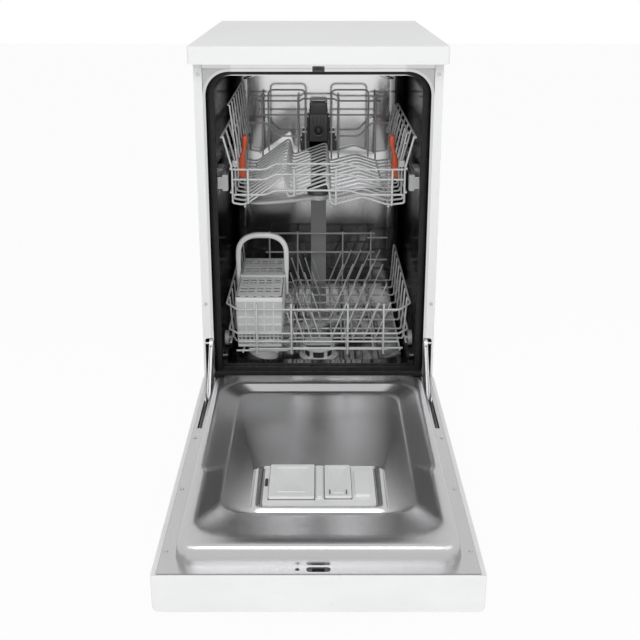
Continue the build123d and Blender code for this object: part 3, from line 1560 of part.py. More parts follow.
# Height clips: coloured levers inside the upper rack walls
clip_length = 22
clip_inner = 148
clip_outer = hinge_x - hinge_pin - 0.6
clip_foot_outer = lug_outer
with BuildPart() as height_clips:
    for turn in (-1, 1):
        with BuildSketch(upright(clip_y + clip_length / 2)):
            with BuildLine():
                Polyline(
                    (turn * clip_inner, 561),
                    (turn * clip_foot_outer, 561),
                    (turn * clip_foot_outer, 608),
                    (turn * clip_outer, 610),
                    (turn * clip_outer, 648),
                    (turn * (clip_inner + 3), 648),
                    (turn * clip_inner, 630),
                    (turn * (clip_inner + 2), 600),
                    close=True,
                )
            make_face()
        extrude(amount=clip_length)
height_clips.part.label = "height_clips"
export_step(height_clips.part, "parts/height_clips.step")

# Rack runners: moulded shoes on the rack walls that slide in the rails
runner_rows = (face_y + 308, face_y + 485)
runner_length = 24
neck_outer = rail_inner + 1
neck_inner = upper_half_width + wire / 2 + 0.2
neck_height = 9
shoe_outer = rail_outer - rail_sheet - 0.4
shoe_height = rail_high - rail_low - 2 * rail_sheet - 1
with BuildPart() as rack_runners:
    for turn in (-1, 1):
        for runner_y in runner_rows:
            with BuildSketch(upright(runner_y + runner_length / 2)):
                with Locations((turn * (neck_outer + shoe_outer) / 2, rail_z)):
                    Rectangle(shoe_outer - neck_outer, shoe_height)
                with Locations((turn * (neck_inner + neck_outer + 1) / 2, rail_z)):
                    Rectangle(neck_outer + 1 - neck_inner, neck_height)
            extrude(amount=runner_length)
rack_runners.part.label = "rack_runners"
export_step(rack_runners.part, "parts/rack_runners.step")

# Upper arm feed: the dark docking housing at the back of the rack and the pipe to the upper arm
dock_front_y = upper_last_row + wire / 2 + 3
dock_back_y = tub_back_y - duct_gap - duct_thickness - 0.6
pipe_top = 530
pipe_bottom = 514
upper_arm_y = face_y + 297
upper_pin_low = 501
block_front_y = upper_rear_y + wire / 2 + 0.4
blocks = (
    (23, block_front_y, 556, 677),
    (42, block_front_y, 562, 604),
    (22, dock_front_y, 585, 675),
    (16, block_front_y, pipe_bottom, 574),
    (15, upper_arm_y, pipe_bottom, pipe_top),
)
pipe_hub_radius = 24
port_rise = 3
port_wall = 3
with BuildPart() as upper_arm_feed:
    for half, front, low, high in blocks:
        with BuildSketch(Plane.XY.offset(low)):
            with Locations((0, (front + dock_back_y) / 2)):
                Rectangle(2 * half, dock_back_y - front)
        extrude(amount=high - low)
    with BuildSketch(Plane.XY.offset(pipe_bottom)):
        with Locations((0, upper_arm_y)):
            Circle(pipe_hub_radius)
    extrude(amount=pipe_top - pipe_bottom)
    with BuildSketch(Plane.XY.offset(upper_pin_low)):
        with Locations((0, upper_arm_y)):
            Circle(arm_pin_radius)
    extrude(amount=pipe_bottom - upper_pin_low)
    with BuildSketch(upright(dock_front_y)):
        with Locations((0, port_height)):
            Circle(port_radius)
    extrude(amount=port_rise)
    with BuildSketch(upright(dock_front_y - port_rise)):
        with Locations((0, port_height)):
            Circle(port_radius - port_wall)
    extrude(amount=-2 * port_rise, mode=Mode.SUBTRACT)
upper_arm_feed.part.label = "upper_arm_feed"
export_step(upper_arm_feed.part, "parts/upper_arm_feed.step")

# Upper spray arm
upper_arm_thickness = 12
upper_arm_bottom = pipe_bottom - cap_gap - upper_arm_thickness
upper_arm_turn = 22
upper_spray_arm = spray_arm(
    upper_arm_bottom,
    upper_arm_thickness,
    upper_arm_y,
    upper_arm_turn,
    upper_pin_low - cap_gap,
    pipe_bottom + cap_gap,
)
upper_spray_arm.label = "upper_spray_arm"
export_step(upper_spray_arm, "parts/upper_spray_arm.step")

# Lower rack: a wire floor with a dip for the basket, flared sides, front and back panels and combs of tines
lower_front_y = face_y + lower_front_setback
lower_rear_y = face_y + lower_rear_setback
dip_z = lower_floor - 5.5
lower_profile = (
    (-163.6, dip_z),
    (-66, dip_z),
    (-63, dip_z),
    (-57.5, lower_floor),
    (168, lower_floor),
)
dip_longs = (-150, -82)
lower_row_count = 9
lower_first_row = lower_front_y + wire + 0.2
lower_last_row = lower_rear_y - wire - 0.2
lower_pitch = (lower_last_row - lower_first_row) / (lower_row_count - 1)
lower_rows = [lower_first_row + lower_pitch * row for row in range(lower_row_count)]
lower_longs = (-54, 56, 110, 162)
lower_side = ((168.2, 246), (170.6, 246), (173, 250), (179, 336))
corner_y = lower_front_y + 22
corner_x = 159
corner_trim = 2.4
dip_side = ((163.8, dip_z), (167, dip_z))
lower_side_longs = ((176, 250), (178, 279), (181.8, 334))
front_corners = ((329.5, *lower_side_longs[2]), (279, *lower_side_longs[1]))
axle_radius = 3
axle_z = ledge_height + wheel_radius + 0.3
wheel_inner = ledge_half_width + 0.6
wheel_rows = (face_y + 150, face_y + 450)
wheel_gap = 0.08
tine_rows = (face_y + 141, face_y + 253, face_y + 380, face_y + 484)
tine_base_z = lower_floor + wire / 2 + thin_wire / 2 + panel_gap
right_tines = (25.7, 47.4, 69.2, 91.9, 114.6)
left_tines = (-46.5, -30.5, -14.5, 3.5)
comb_margin = 6
front_wires = ((329.5, corner_x), (279, corner_x), (261.6, corner_x), (245.6, 137))
front_posts = (-122, -53.5, 57.7, 128.2)
front_post_low = 236
front_post_high = 343.5
back_wires = ((362.6, -126, 134), (316, -126, 134))
back_stubs = (352, 297)
back_posts = (-116.5, -49.6, 57.7, 124.5)
back_post_high = 366
lower_panels = []
long_start = lower_first_row - wire / 2
long_end = lower_last_row + wire / 2
flat_run = ((lower_profile[1][0] + weld / 2, dip_z), *lower_profile[2:])
for run, run_z, longs in ((lower_profile[:2], dip_z, dip_longs), (flat_run, lower_floor, lower_longs)):
    with BuildPart() as lower_mat:
        add([cross_wire(run, row, wire) for row in lower_rows])
        add([long_wire(x, run_z - lap, long_start, long_end, wire) for x in longs])
    lower_panels.append(lower_mat.part)
for turn in (-1, 1):
    with BuildPart() as lower_wall:
        wall_foot = lower_side if turn > 0 else (*dip_side, *lower_side[2:])
        wall_profile = [(turn * x, z) for x, z in wall_foot]
        add([cross_wire(wall_profile, row, wire) for row in lower_rows[1:]])
        for x, z in lower_side_longs:
            add(long_wire(turn * x, z, corner_y, lower_rear_y, wire))
        for wheel_y in wheel_rows:
            with BuildSketch(sideways(turn * lower_side_longs[0][0])):
                with Locations((wheel_y, axle_z)):
                    Circle(axle_radius)
            extrude(amount=turn * (wheel_inner + wheel_width + 1 - lower_side_longs[0][0]))
    lower_panels.append(lower_wall.part)
    for front_z, side_x, side_z in front_corners:
        corner_start = Vector(turn * corner_x, lower_front_y, front_z)
        corner_end = Vector(turn * side_x, corner_y, side_z)
        trim = (corner_end - corner_start).normalized() * corner_trim
        corner_run = [corner_start + trim, corner_end - trim]
        lower_panels.append(bent_wire(corner_run, wire, (0, 0, 1)))
with BuildPart() as lower_front:
    for front_z, reach in front_wires:
        add(cross_wire([(-reach, front_z), (reach, front_z)], lower_front_y, wire))
    for x in front_posts:
        foot = (x, lower_front_y - lap, front_post_low)
        head = (x, lower_front_y - lap, front_post_high)
        add(bent_wire([foot, head], wire, (1, 0, 0)))
lower_panels.append(lower_front.part)
with BuildPart() as lower_back:
    for back_z, left, right in back_wires:
        add(cross_wire([(left, back_z), (right, back_z)], lower_rear_y, wire))
    for turn in (-1, 1):
        for stub_z in back_stubs:
            add(cross_wire([(turn * 116, stub_z), (turn * 164, stub_z)], lower_rear_y, wire))
    for x in back_posts:
        low = wire_z(lower_profile, x)
        post_y = lower_rear_y + lap
        post = [(x, post_y, back_post_high), (x, post_y, low), (x, lower_last_row + wire / 2 + 0.2, low)]
        add(bent_wire(post, wire, (1, 0, 0)))
lower_panels.append(lower_back.part)
for places, lean, height in ((right_tines, 31, 81), (left_tines, -17.5, 61)):
    for base_x in places:
        with BuildPart() as comb:
            comb_start = tine_rows[0] - comb_margin
            add(long_wire(base_x, tine_base_z, comb_start, tine_rows[-1] + comb_margin, thin_wire))
            for row in tine_rows:
                foot = (base_x, row, tine_base_z)
                tip = (base_x + lean, row, lower_floor + height)
                add(bent_wire([foot, tip], thin_wire, (0, 1, 0)))
        lower_panels.append(comb.part)
with BuildPart() as lower_rack:
    add(lower_panels)
lower_rack.part.label = "lower_rack"
export_step(lower_rack.part, "parts/lower_rack.step")

# Wheels: rollers on the axle stubs
for side_name, turn in (("left", -1), ("right", 1)):
    for row_name, wheel_y in zip(("front", "rear"), wheel_rows):
        with BuildPart() as wheel:
            with BuildSketch(sideways(turn * wheel_inner)):
                with Locations((wheel_y, axle_z)):
                    Circle(wheel_radius)
                    Circle(axle_radius + wheel_gap, mode=Mode.SUBTRACT)
            extrude(amount=turn * wheel_width)
        wheel.part.label = side_name + "_" + row_name + "_wheel"
        export_step(wheel.part, "parts/" + wheel.part.label + ".step")

# Cutlery basket: a tapered moulded box with barred walls and a bar across the middle
basket_x = -117
basket_y = face_y + 230
basket_bottom = dip_z + wire / 2 + 0.3
basket_top = 350
basket_low_half = 44
basket_high_half = 47.5
basket_low_length = 228
basket_high_length = 240
basket_wall = 1.8
basket_corner = 5
bar_half = 6
bar_top = 354
window_rows = 2
window_height = 38
window_pitch = 50
first_window_z = basket_bottom + 31


def basket_form(inset, low):
    """The tapered outside of the basket, drawn in by the inset, from the given height to its rim."""
    with BuildPart() as form:
        for height, half, length in (
            (low, basket_low_half, basket_low_length),
            (basket_top + inset, basket_high_half, basket_high_length),
        ):
            with BuildSketch(Plane.XY.offset(height)):
                with Locations((basket_x, basket_y)):
                    RectangleRounded(2 * (half - inset), length - 2 * inset, basket_corner - inset)
        loft()
    return form.part


basket_outside = basket_form(0, basket_bottom)
basket_inside = basket_form(basket_wall, basket_bottom + basket_wall)
divider_y = basket_y + 5
front_window = 22
side_window = 46
floor_window = (28, 44)
with BuildPart() as cutlery_basket:
    add(basket_outside)
    add(basket_inside, mode=Mode.SUBTRACT)
    for row in range(window_rows):
        window_z = first_window_z + window_pitch * row
        with BuildSketch(upright(basket_y + basket_high_length)):
            with Locations((basket_x, window_z)):
                with GridLocations(front_window + 5, 1, 3, 1):
                    Rectangle(front_window, window_height)
        extrude(amount=2 * basket_high_length, mode=Mode.SUBTRACT)
        with BuildSketch(sideways(basket_x - 2 * basket_high_half)):
            with Locations((basket_y, window_z)):
                with GridLocations(side_window + 8, 1, 4, 1):
                    Rectangle(side_window, window_height)
        extrude(amount=4 * basket_high_half, mode=Mode.SUBTRACT)
    with BuildSketch(Plane.XY.offset(basket_bottom)):
        with Locations((basket_x, basket_y)):
            with GridLocations(floor_window[0] + 8, side_window + 8, 2, 4):
                Rectangle(*floor_window)
    extrude(amount=basket_wall, mode=Mode.SUBTRACT)
    with BuildSketch(Plane.XY.offset(basket_top - 8)):
        with Locations((basket_x, divider_y)):
            Rectangle(2 * basket_high_half - 1, 2 * bar_half - 1)
    extrude(amount=bar_top - basket_top + 8)
    with BuildSketch(Plane.XY.offset(basket_bottom)):
        with Locations((basket_x, divider_y)):
            Rectangle(2 * basket_low_half - 1, basket_wall)
    extrude(amount=basket_top - basket_bottom)
cutlery_basket.part.label = "cutlery_basket"
export_step(cutlery_basket.part, "parts/cutlery_basket.step")

# Basket handle: a strap bent in an arch over the middle bar
handle_y = divider_y
handle_width = 12
handle_thickness = 5
handle_crown = 6
handle_inner_half = basket_high_half + 0.4
handle_outer_half = handle_inner_half + handle_thickness
handle_foot = 312
handle_top = 446
handle_corner = 38
with BuildPart() as basket_handle:
    with BuildSketch(upright(handle_y + handle_width / 2)) as strap:
        with Locations((basket_x, (handle_foot + handle_top) / 2)):
            Rectangle(2 * handle_outer_half, handle_top - handle_foot)
        fillet(strap.vertices().group_by(Axis.Y)[-1], handle_corner)
    extrude(amount=handle_width)
    with BuildSketch(upright(handle_y + handle_width / 2)) as strap_space:
        with Locations((basket_x, (handle_foot + handle_top) / 2 - handle_crown)):
            Rectangle(2 * handle_inner_half, handle_top - handle_foot)
        fillet(strap_space.vertices().group_by(Axis.Y)[-1], handle_corner - handle_thickness)
    extrude(amount=handle_width, mode=Mode.SUBTRACT)
basket_handle.part.label = "basket_handle"
export_step(basket_handle.part, "parts/basket_handle.step")

# Basket lids: slatted flaps hinged along the middle bar
lid_half = basket_high_half - 4
lid_thickness = 2.4
lid_hinge_gap = 1.6
lid_rest_z = basket_top + 0.3
lid_barrel = 1.5
slot_rows = 6
slot_row_pitch = 17
slot_row_width = 11
slot_row_margin = 6
for lid_name, turn in (("front", -1), ("rear", 1)):
    with BuildPart() as basket_lid:
        near = handle_y + turn * (bar_half + lid_hinge_gap)
        far = basket_y + turn * (basket_high_length / 2 - 3)
        with BuildSketch(Plane.XY.offset(lid_rest_z)):
            with Locations((basket_x, (near + far) / 2)):
                Rectangle(2 * lid_half, abs(far - near))
                with Locations((0, turn * 4)):
                    with GridLocations(1, slot_row_pitch, 1, slot_rows):
                        Rectangle(2 * (lid_half - slot_row_margin), slot_row_width, mode=Mode.SUBTRACT)
        extrude(amount=lid_thickness)
        with BuildSketch(sideways(basket_x - lid_half)):
            with Locations((near, lid_rest_z + lid_barrel)):
                Circle(lid_barrel)
        extrude(amount=2 * lid_half)
    basket_lid.part.label = lid_name + "_basket_lid"
    export_step(basket_lid.part, "parts/" + basket_lid.part.label + ".step")
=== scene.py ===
import json
import math
from functools import partial

import bpy
import numpy as np
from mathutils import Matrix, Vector


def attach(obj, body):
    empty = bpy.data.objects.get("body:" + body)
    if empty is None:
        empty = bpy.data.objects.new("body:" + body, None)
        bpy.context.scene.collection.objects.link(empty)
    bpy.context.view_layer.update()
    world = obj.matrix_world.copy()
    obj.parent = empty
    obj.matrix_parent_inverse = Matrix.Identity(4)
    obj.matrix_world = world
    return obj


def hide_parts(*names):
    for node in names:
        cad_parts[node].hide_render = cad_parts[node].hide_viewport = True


bl_info = {
    "name": "Slimline dishwasher",
    "version": (1, 0, 0),
    "blender": (4, 5, 0),
    "location": "3D View > Sidebar > Dishwasher",
    "description": "Builds the visible surfaces of a slimline dishwasher round its rigid model",
    "category": "Object",
}

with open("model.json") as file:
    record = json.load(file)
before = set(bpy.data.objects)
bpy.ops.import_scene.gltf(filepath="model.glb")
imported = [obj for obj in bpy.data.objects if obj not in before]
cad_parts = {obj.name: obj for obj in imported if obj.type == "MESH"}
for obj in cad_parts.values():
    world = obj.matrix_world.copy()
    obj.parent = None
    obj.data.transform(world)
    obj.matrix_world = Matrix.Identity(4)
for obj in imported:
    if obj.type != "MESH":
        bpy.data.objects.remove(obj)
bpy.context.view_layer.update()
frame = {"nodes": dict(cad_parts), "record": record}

# Sizes in millimetres, in the model's own frame
FACE_Y = -23.25
WIRE = 4.0
THIN_WIRE = 3.2
# How far two welded wires sink into each other, and the distance between their axes where they cross
WELD = 0.4
LAP = WIRE * math.cos(math.radians(30)) - WELD

# Points on each bend, and sides of each round wire
CORNER_STEPS = 6
WIRE_SIDES = 12

# The photograph's width, and the camera's focal length in its pixels
PHOTO_PIXELS = 640
FOCAL_PIXELS = 921.3
SENSOR_WIDTH = 36


class Shape:
    """Points and faces gathered from several surfaces, in millimetres."""

    def __init__(self):
        self.points, self.faces, self.count = [], [], 0

    def add(self, points, *face_arrays):
        points = np.asarray(points, float).reshape(-1, 3)
        self.points.append(points)
        for faces in face_arrays:
            self.faces += (np.asarray(faces, int) + self.count).tolist()
        self.count += len(points)
        return self

    def build(self, name, body, finish, slot, replaces=(), sharp=40.0):
        mesh = bpy.data.meshes.new(name)
        mesh.from_pydata((np.concatenate(self.points) / 1000).tolist(), [], self.faces)
        mesh.update()
        mesh.shade_smooth()
        mesh.set_sharp_from_angle(angle=math.radians(sharp))
        piece = bpy.data.objects.new(name, mesh)
        bpy.context.scene.collection.objects.link(piece)
        mesh.materials.append(finish)
        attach(piece, body)
        if replaces:
            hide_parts(*replaces)
        return piece


def unit(vectors):
    """Vectors divided by their lengths."""
    return vectors / np.linalg.norm(vectors, axis=-1, keepdims=True)


def rounded(points, bend):
    """A run of points with each inner corner P replaced by the curve (1-t)^2 A + 2t(1-t) P + t^2 B,
    where A and B lie before and after the corner at the bend's reach."""
    points = np.asarray(points, float)
    t = np.linspace(0, 1, CORNER_STEPS)[:, None]
    runs = [points[:1]]
    for before, corner, after in zip(points, points[1:], points[2:]):
        back, on = before - corner, after - corner
        back_length, on_length = np.linalg.norm(back), np.linalg.norm(on)
        reach = min(bend, 0.48 * back_length, 0.48 * on_length)
        start, end = corner + back * reach / back_length, corner + on * reach / on_length
        runs.append((1 - t) ** 2 * start + 2 * t * (1 - t) * corner + t**2 * end)
    runs.append(points[-1:])
    return np.concatenate(runs)


def grid_faces(rows, columns, closed=False):
    """Four-sided faces between rows that close round; a closed grid also joins its last row to its first."""
    i, j = np.meshgrid(np.arange(rows if closed else rows - 1), np.arange(columns), indexing="ij")
    k, following = (j + 1) % columns, (i + 1) % rows * columns
    return np.stack([i * columns + j, i * columns + k, following + k, following + j], -1).reshape(-1, 4)


def carried(shape, path, section, side):
    """A closed section (u, v) carried along a path: point = P + u S + v (T x S), with T the path's
    direction and S the given side made square to it; both ends are closed by a fan."""
    path, section = np.asarray(path, float), np.asarray(section, float)
    step = unit(np.diff(path, axis=0))
    along = unit(np.concatenate([step[:1], step[1:] + step[:-1], step[-1:]]))
    side = np.asarray(side, float)
    side = unit(side - along * (along @ side)[:, None])
    up = np.cross(along, side)
    if section.ndim == 2:
        section = np.repeat(section[None], len(path), axis=0)
    rings = path[:, None] + section[..., :1] * side[:, None] + section[..., 1:] * up[:, None]
    rows, columns = rings.shape[:2]
    points = np.concatenate([rings.reshape(-1, 3), path[:1], path[-1:]])
    j = np.arange(columns)
    k = (j + 1) % columns
    first, last = rows * columns, rows * columns + 1
    base = (rows - 1) * columns
    caps = [
        np.stack([np.full(columns, first), k, j], -1),
        np.stack([np.full(columns, last), base + j, base + k], -1),
    ]
    shape.add(points, grid_faces(rows, columns), *caps)


def wire(shape, points, gauge, side, bend=9.0):
    """A round wire along straight runs with bent corners and slightly domed ends: a circle of radius
    gauge / 2 carried along the rounded run, smaller at the first and last stations."""
    path = rounded(points, bend)
    start, end = unit(path[1] - path[0]), unit(path[-1] - path[-2])
    inset = np.array([0.0, 0.12, 0.3])[:, None] * gauge
    path = np.concatenate([path[0] + start * inset, path[1:-1], path[-1] - end * inset[::-1]])
    radius = np.full(len(path), gauge / 2)
    radius[:3] *= (0.55, 0.88, 1)
    radius[-3:] *= (1, 0.88, 0.55)
    turn = np.linspace(0, 2 * np.pi, WIRE_SIDES, endpoint=False)
    circle = np.stack([np.cos(turn), np.sin(turn)], -1)
    carried(shape, path, radius[:, None, None] * circle, side)


def across(shape, profile, y, gauge, bend=9.0):
    """A wire across the machine at depth y, bent along (x, z) points."""
    wire(shape, [(x, y, z) for x, z in profile], gauge, (0, 1, 0), bend)


def along_machine(shape, x, z, start, end, gauge):
    """A straight wire from front to back."""
    wire(shape, [(x, start, z), (x, end, z)], gauge, (1, 0, 0))


def slope_z(profile, x):
    """The height of a bent profile of (x, z) points at x, along its runs that go to the right."""
    for (left, low), (right, high) in zip(profile, profile[1:]):
        if left < right and left <= x <= right:
            return low + (high - low) * (x - left) / (right - left)
    return profile[0][1]


def rear_post(shape, profile, x, top, rear, last_row, bend):
    """An upright on the back of a rack, bent forward under its floor as far as the last cross wire."""
    low = slope_z(profile, x)
    foot = last_row + WIRE / 2 + 0.2
    wire(shape, [(x, rear + LAP, top), (x, rear + LAP, low), (x, foot, low)], WIRE, (1, 0, 0), bend)


def boxes(shape, low, high, place=None):
    """Blocks between low and high corners (n, 3); place, if given, bends their corners into position."""
    low, high = np.atleast_2d(np.asarray(low, float)), np.atleast_2d(np.asarray(high, float))
    pick = np.array([[0, 0, 0], [1, 0, 0], [1, 1, 0], [0, 1, 0], [0, 0, 1], [1, 0, 1], [1, 1, 1], [0, 1, 1]])
    corners = np.where(pick[None] == 0, low[:, None], high[:, None])
    sides = np.array([[0, 3, 2, 1], [4, 5, 6, 7], [0, 1, 5, 4], [1, 2, 6, 5], [2, 3, 7, 6], [3, 0, 4, 7]])
    faces = (np.arange(len(low))[:, None, None] * 8 + sides[None]).reshape(-1, 4)
    points = corners.reshape(-1, 3)
    shape.add(points if place is None else place(points), faces)


def rounded_ring(left, right, near, far, corner, z, arc, side):
    """A rounded rectangle seen from above, anticlockwise from its near right corner: each corner is an
    arc C + r (cos a, sin a), and each side between two arcs is divided evenly."""
    quarter = np.linspace(0, np.pi / 2, arc)
    tips = np.array([(right, near), (right, far), (left, far), (left, near)])
    centres = tips + corner * np.array([(-1, 1), (-1, -1), (1, -1), (1, 1)])
    turn = quarter[None] + np.array([-0.5, 0, 0.5, 1])[:, None] * np.pi
    arcs = centres[:, None] + corner * np.stack([np.cos(turn), np.sin(turn)], -1)
    t = np.linspace(0, 1, side + 2)[1:-1, None]
    parts = []
    for here, following in zip(arcs, np.roll(arcs, -1, axis=0)):
        parts += [here, here[-1] * (1 - t) + following[0] * t]
    flat = np.concatenate(parts)
    return np.column_stack([flat, np.full(len(flat), z)])


def lofted(shape, rings):
    """Faces from ring to ring, each ring closed on itself."""
    rings = np.asarray(rings, float)
    shape.add(rings, grid_faces(rings.shape[0], rings.shape[1]))


def slab(shape, left, right, near, far, low, high, corner=3.0, edge=1.0, dish=None):
    """A moulded block: rounded rectangles stacked from its underside to its top, drawn in by
    edge * (1 - sin a) as the height falls short by edge * (1 - cos a). With dish = (margin, depth)
    the top sinks by the depth inside the margin."""
    turn = np.linspace(0, np.pi / 2, 4)
    rise = [(edge * (1 - math.sin(a)), low + edge * (1 - math.cos(a))) for a in turn]
    fall = [(edge * (1 - math.sin(a)), high - edge * (1 - math.cos(a))) for a in turn[::-1]]
    stations = rise + fall
    if dish:
        margin, depth = dish
        lip = 0.15
        stations += [(margin, high), (margin + 0.4, high - lip)]
        stations += [(margin + 1.2, high - depth + lip), (margin + 1.8, high - depth)]
    rings = []
    for inset, z in stations:
        sides = (left + inset, right - inset, near + inset, far - inset)
        rings.append(rounded_ring(*sides, max(corner - inset, 0.3), z, 5, 1))
    count = len(rings[0])
    middle = ((left + right) / 2, (near + far) / 2)
    points = np.concatenate([*rings, [(*middle, rings[0][0][2])], [(*middle, rings[-1][0][2])]])
    j = np.arange(count)
    k, base, first = (j + 1) % count, (len(rings) - 1) * count, len(rings) * count
    under = np.stack([np.full(count, first), k, j], -1)
    over = np.stack([np.full(count, first + 1), base + j, base + k], -1)
    shape.add(points, grid_faces(len(rings), count), under, over)


def circles(profile, sides):
    """For each (r, s) of a profile, r cos a and r sin a round the circle, and s repeated along it."""
    turn = np.linspace(0, 2 * np.pi, sides, endpoint=False)
    profile = np.asarray(profile, float)
    radius = profile[:, :1]
    return radius * np.cos(turn), radius * np.sin(turn), np.repeat(profile[:, 1:], sides, axis=1)


def lathe(shape, profile, centre, sides=64):
    """A ring turned about a vertical axis: each (r, z) of a closed profile gives the circle
    (x + r cos a, y + r sin a, z); the profile climbs on its outer side."""
    first, second, along = circles(profile, sides)
    rings = np.stack([centre[0] + first, centre[1] + second, along], -1)
    shape.add(rings, grid_faces(len(profile), sides, True))


def facing_lathe(shape, profile, height, sides=48):
    """A ring turned about an axis along the machine: each (r, y) of a closed profile gives the circle
    (r cos a, y, height + r sin a)."""
    first, second, along = circles(profile, sides)
    shape.add(np.stack([first, along, height + second], -1), grid_faces(len(profile), sides, True))


def round_section(half_width, half_height, power, sides=20):
    """A softened rectangle: u = a sign(cos t) |cos t|^(2/n), v = b sign(sin t) |sin t|^(2/n)."""
    turn = np.linspace(0, 2 * np.pi, sides, endpoint=False)
    c, s = np.cos(turn), np.sin(turn)
    soft = 2 / power
    return np.stack([half_width * np.sign(c) * abs(c) ** soft, half_height * np.sign(s) * abs(s) ** soft], -1)


class Value:
    """A shader socket that takes part in Python expressions; each operator adds its Math node."""

    def __init__(self, finish, socket):
        self.finish, self.socket = finish, socket

    def math(self, operation, *others):
        return self.finish.node("ShaderNodeMath", {"operation": operation}, self, *others)

    def __add__(self, other):
        return self.math("ADD", other)

    def __mul__(self, other):
        return self.math("MULTIPLY", other)


class Finish:
    """A material with its Principled shader, and one method for any other node."""

    def __init__(self, name, colour, roughness, metallic=0.0, coat=0.0):
        self.material = bpy.data.materials.new(name)
        self.material.use_nodes = True
        self.tree = self.material.node_tree
        self.shader = self.tree.nodes["Principled BSDF"]
        self.shader.inputs["Base Color"].default_value = (*colour[:3], 1)
        self.shader.inputs["Roughness"].default_value = roughness
        self.shader.inputs["Metallic"].default_value = metallic
        self.shader.inputs["Coat Weight"].default_value = coat
        self.shader.inputs["Coat Roughness"].default_value = 0.12

    def node(self, kind, settings, *values, output=0, **named):
        made = self.tree.nodes.new(kind)
        for key, value in settings.items():
            setattr(made, key, value)
        for key, value in [*enumerate(values), *named.items()]:
            socket = made.inputs[key]
            if isinstance(value, Value):
                self.tree.links.new(value.socket, socket)
            elif value is not None:
                socket.default_value = value
        return Value(self, made.outputs[output])

    def feed(self, socket, value):
        self.tree.links.new(value.socket, self.shader.inputs[socket])

    def place(self, stretch=(1, 1, 1)):
        """Object coordinates, stretched along the axes."""
        coordinates = self.node("ShaderNodeTexCoord", {}, output="Object")
        return self.node("ShaderNodeMapping", {}, coordinates, Scale=stretch)

    def noise(self, scale, stretch=(1, 1, 1), detail=3.0):
        return self.node("ShaderNodeTexNoise", {}, self.place(stretch), None, scale, detail, 0.5)

    def spread(self, value, low, high):
        """A noise value carried from 0.3..0.7, where most of it lies, to low..high."""
        return self.node("ShaderNodeMapRange", {"clamp": True}, value, 0.3, 0.7, low, high)

    def tint(self, factor, first, second):
        """A colour between two, by a factor."""
        mix = self.tree.nodes.new("ShaderNodeMix")
        mix.data_type = "RGBA"
        self.tree.links.new(factor.socket, mix.inputs["Factor"])
        mix.inputs[6].default_value = (*first[:3], 1)
        mix.inputs[7].default_value = (*second[:3], 1)
        return Value(self, mix.outputs[2])

    def bump(self, height, strength, distance):
        self.feed("Normal", self.node("ShaderNodeBump", {}, strength, distance, Height=height))


def shade(colour, factor):
    """A colour made lighter or darker."""
    return tuple(min(1.0, c * factor) for c in colour[:3])


def enamel(name, colour, roughness=0.3, coat=0.4):
    """Sprayed white finish: a faint orange peel and a slow drift of tone."""
    finish = Finish(name, colour, roughness, coat=coat)
    drift = finish.spread(finish.noise(4.0), 0.0, 1.0)
    finish.feed("Base Color", finish.tint(drift, shade(colour, 0.985), colour))
    finish.feed("Roughness", finish.spread(finish.noise(9.0), roughness - 0.02, roughness + 0.03))
    finish.bump(finish.noise(260.0, detail=0.0), 0.05, 0.0002)
    return finish.material


def stainless(name, colour, roughness, brush, waves):
    """Cold-rolled steel: hair-fine lines along one axis over a slow waviness of the pressed sheet."""
    finish = Finish(name, colour, roughness, metallic=1.0)
    lines = finish.noise(60.0, brush, 2.0)
    slow = finish.noise(4.0, detail=0.0)
    tone = finish.spread(lines, 0.0, 1.0)
    finish.feed("Base Color", finish.tint(tone, shade(colour, 0.98), shade(colour, 1.02)))
    hairs = finish.spread(lines, roughness - 0.008, roughness + 0.008)
    finish.feed("Roughness", hairs + finish.spread(slow, -0.02, 0.02))
    finish.bump(slow, waves, 0.02)
    return finish.material


def tub_sheet(name, colour, dull):
    """The tub's sheet with painted light in its colour: painted shade along the side walls and toward the
    sump, the upper middle of the back wall at full brightness as a painted reflection, and the front flange
    kept free of the painted shade."""
    finish = Finish(name, colour, 0.13, metallic=1.0)
    finish.shader.inputs["Specular Tint"].default_value = (0.4, 0.4, 0.4, 1)
    spot = finish.node("ShaderNodeTexCoord", {}, output="Object")
    x, y, z = (finish.node("ShaderNodeSeparateXYZ", {}, spot, output=k) for k in range(3))
    smooth = {"interpolation_type": "SMOOTHSTEP"}
    # Painted light: these masks darken the colour toward the side walls and low in the tub as painted shade,
    # and leave it full high in the middle.
    wall_start, wall_full = 0.152, 0.176
    deep_shade_z, no_shade_z = 0.36, 0.64
    flange_back, tub_start = 0.044, 0.05
    inward = finish.node("ShaderNodeMapRange", smooth, x.math("ABSOLUTE"), wall_start, wall_full, 1.0, 0.0)
    raised = finish.node("ShaderNodeMapRange", smooth, z, deep_shade_z, no_shade_z, 0.16, 1.0)
    flange = finish.node("ShaderNodeMapRange", smooth, y, flange_back, tub_start, 0.8, 0.0)
    # Noise roughens the painted shade's edge. The sum is the share of full colour against the painted shade
    # colour (dull), held up on the front flange.
    shade_jitter = finish.spread(finish.noise(9.0, (1, 1, 0.4)), -0.06, 0.06)
    clear = (inward * raised + shade_jitter).math("MAXIMUM", flange)
    finish.feed("Base Color", finish.tint(clear, dull, colour))
    finish.feed("Roughness", finish.spread(finish.noise(60.0, (1, 1, 12), 2.0), 0.12, 0.15))
    finish.bump(finish.noise(4.0, detail=0.0), 0.12, 0.02)
    return finish.material


def moulded(name, colour, roughness=0.45, grain=900.0, depth=0.1):
    """Moulded plastic: a fine spark-eroded grain and faint flow marks."""
    finish = Finish(name, colour, roughness)
    flow = finish.spread(finish.noise(11.0, (1, 1, 2.5)), 0.0, 1.0)
    finish.feed("Base Color", finish.tint(flow, shade(colour, 0.96), shade(colour, 1.02)))
    finish.feed("Roughness", finish.spread(finish.noise(90.0), roughness - 0.06, roughness + 0.06))
    finish.bump(finish.noise(grain, detail=1.0), depth, 0.0003)
    return finish.material


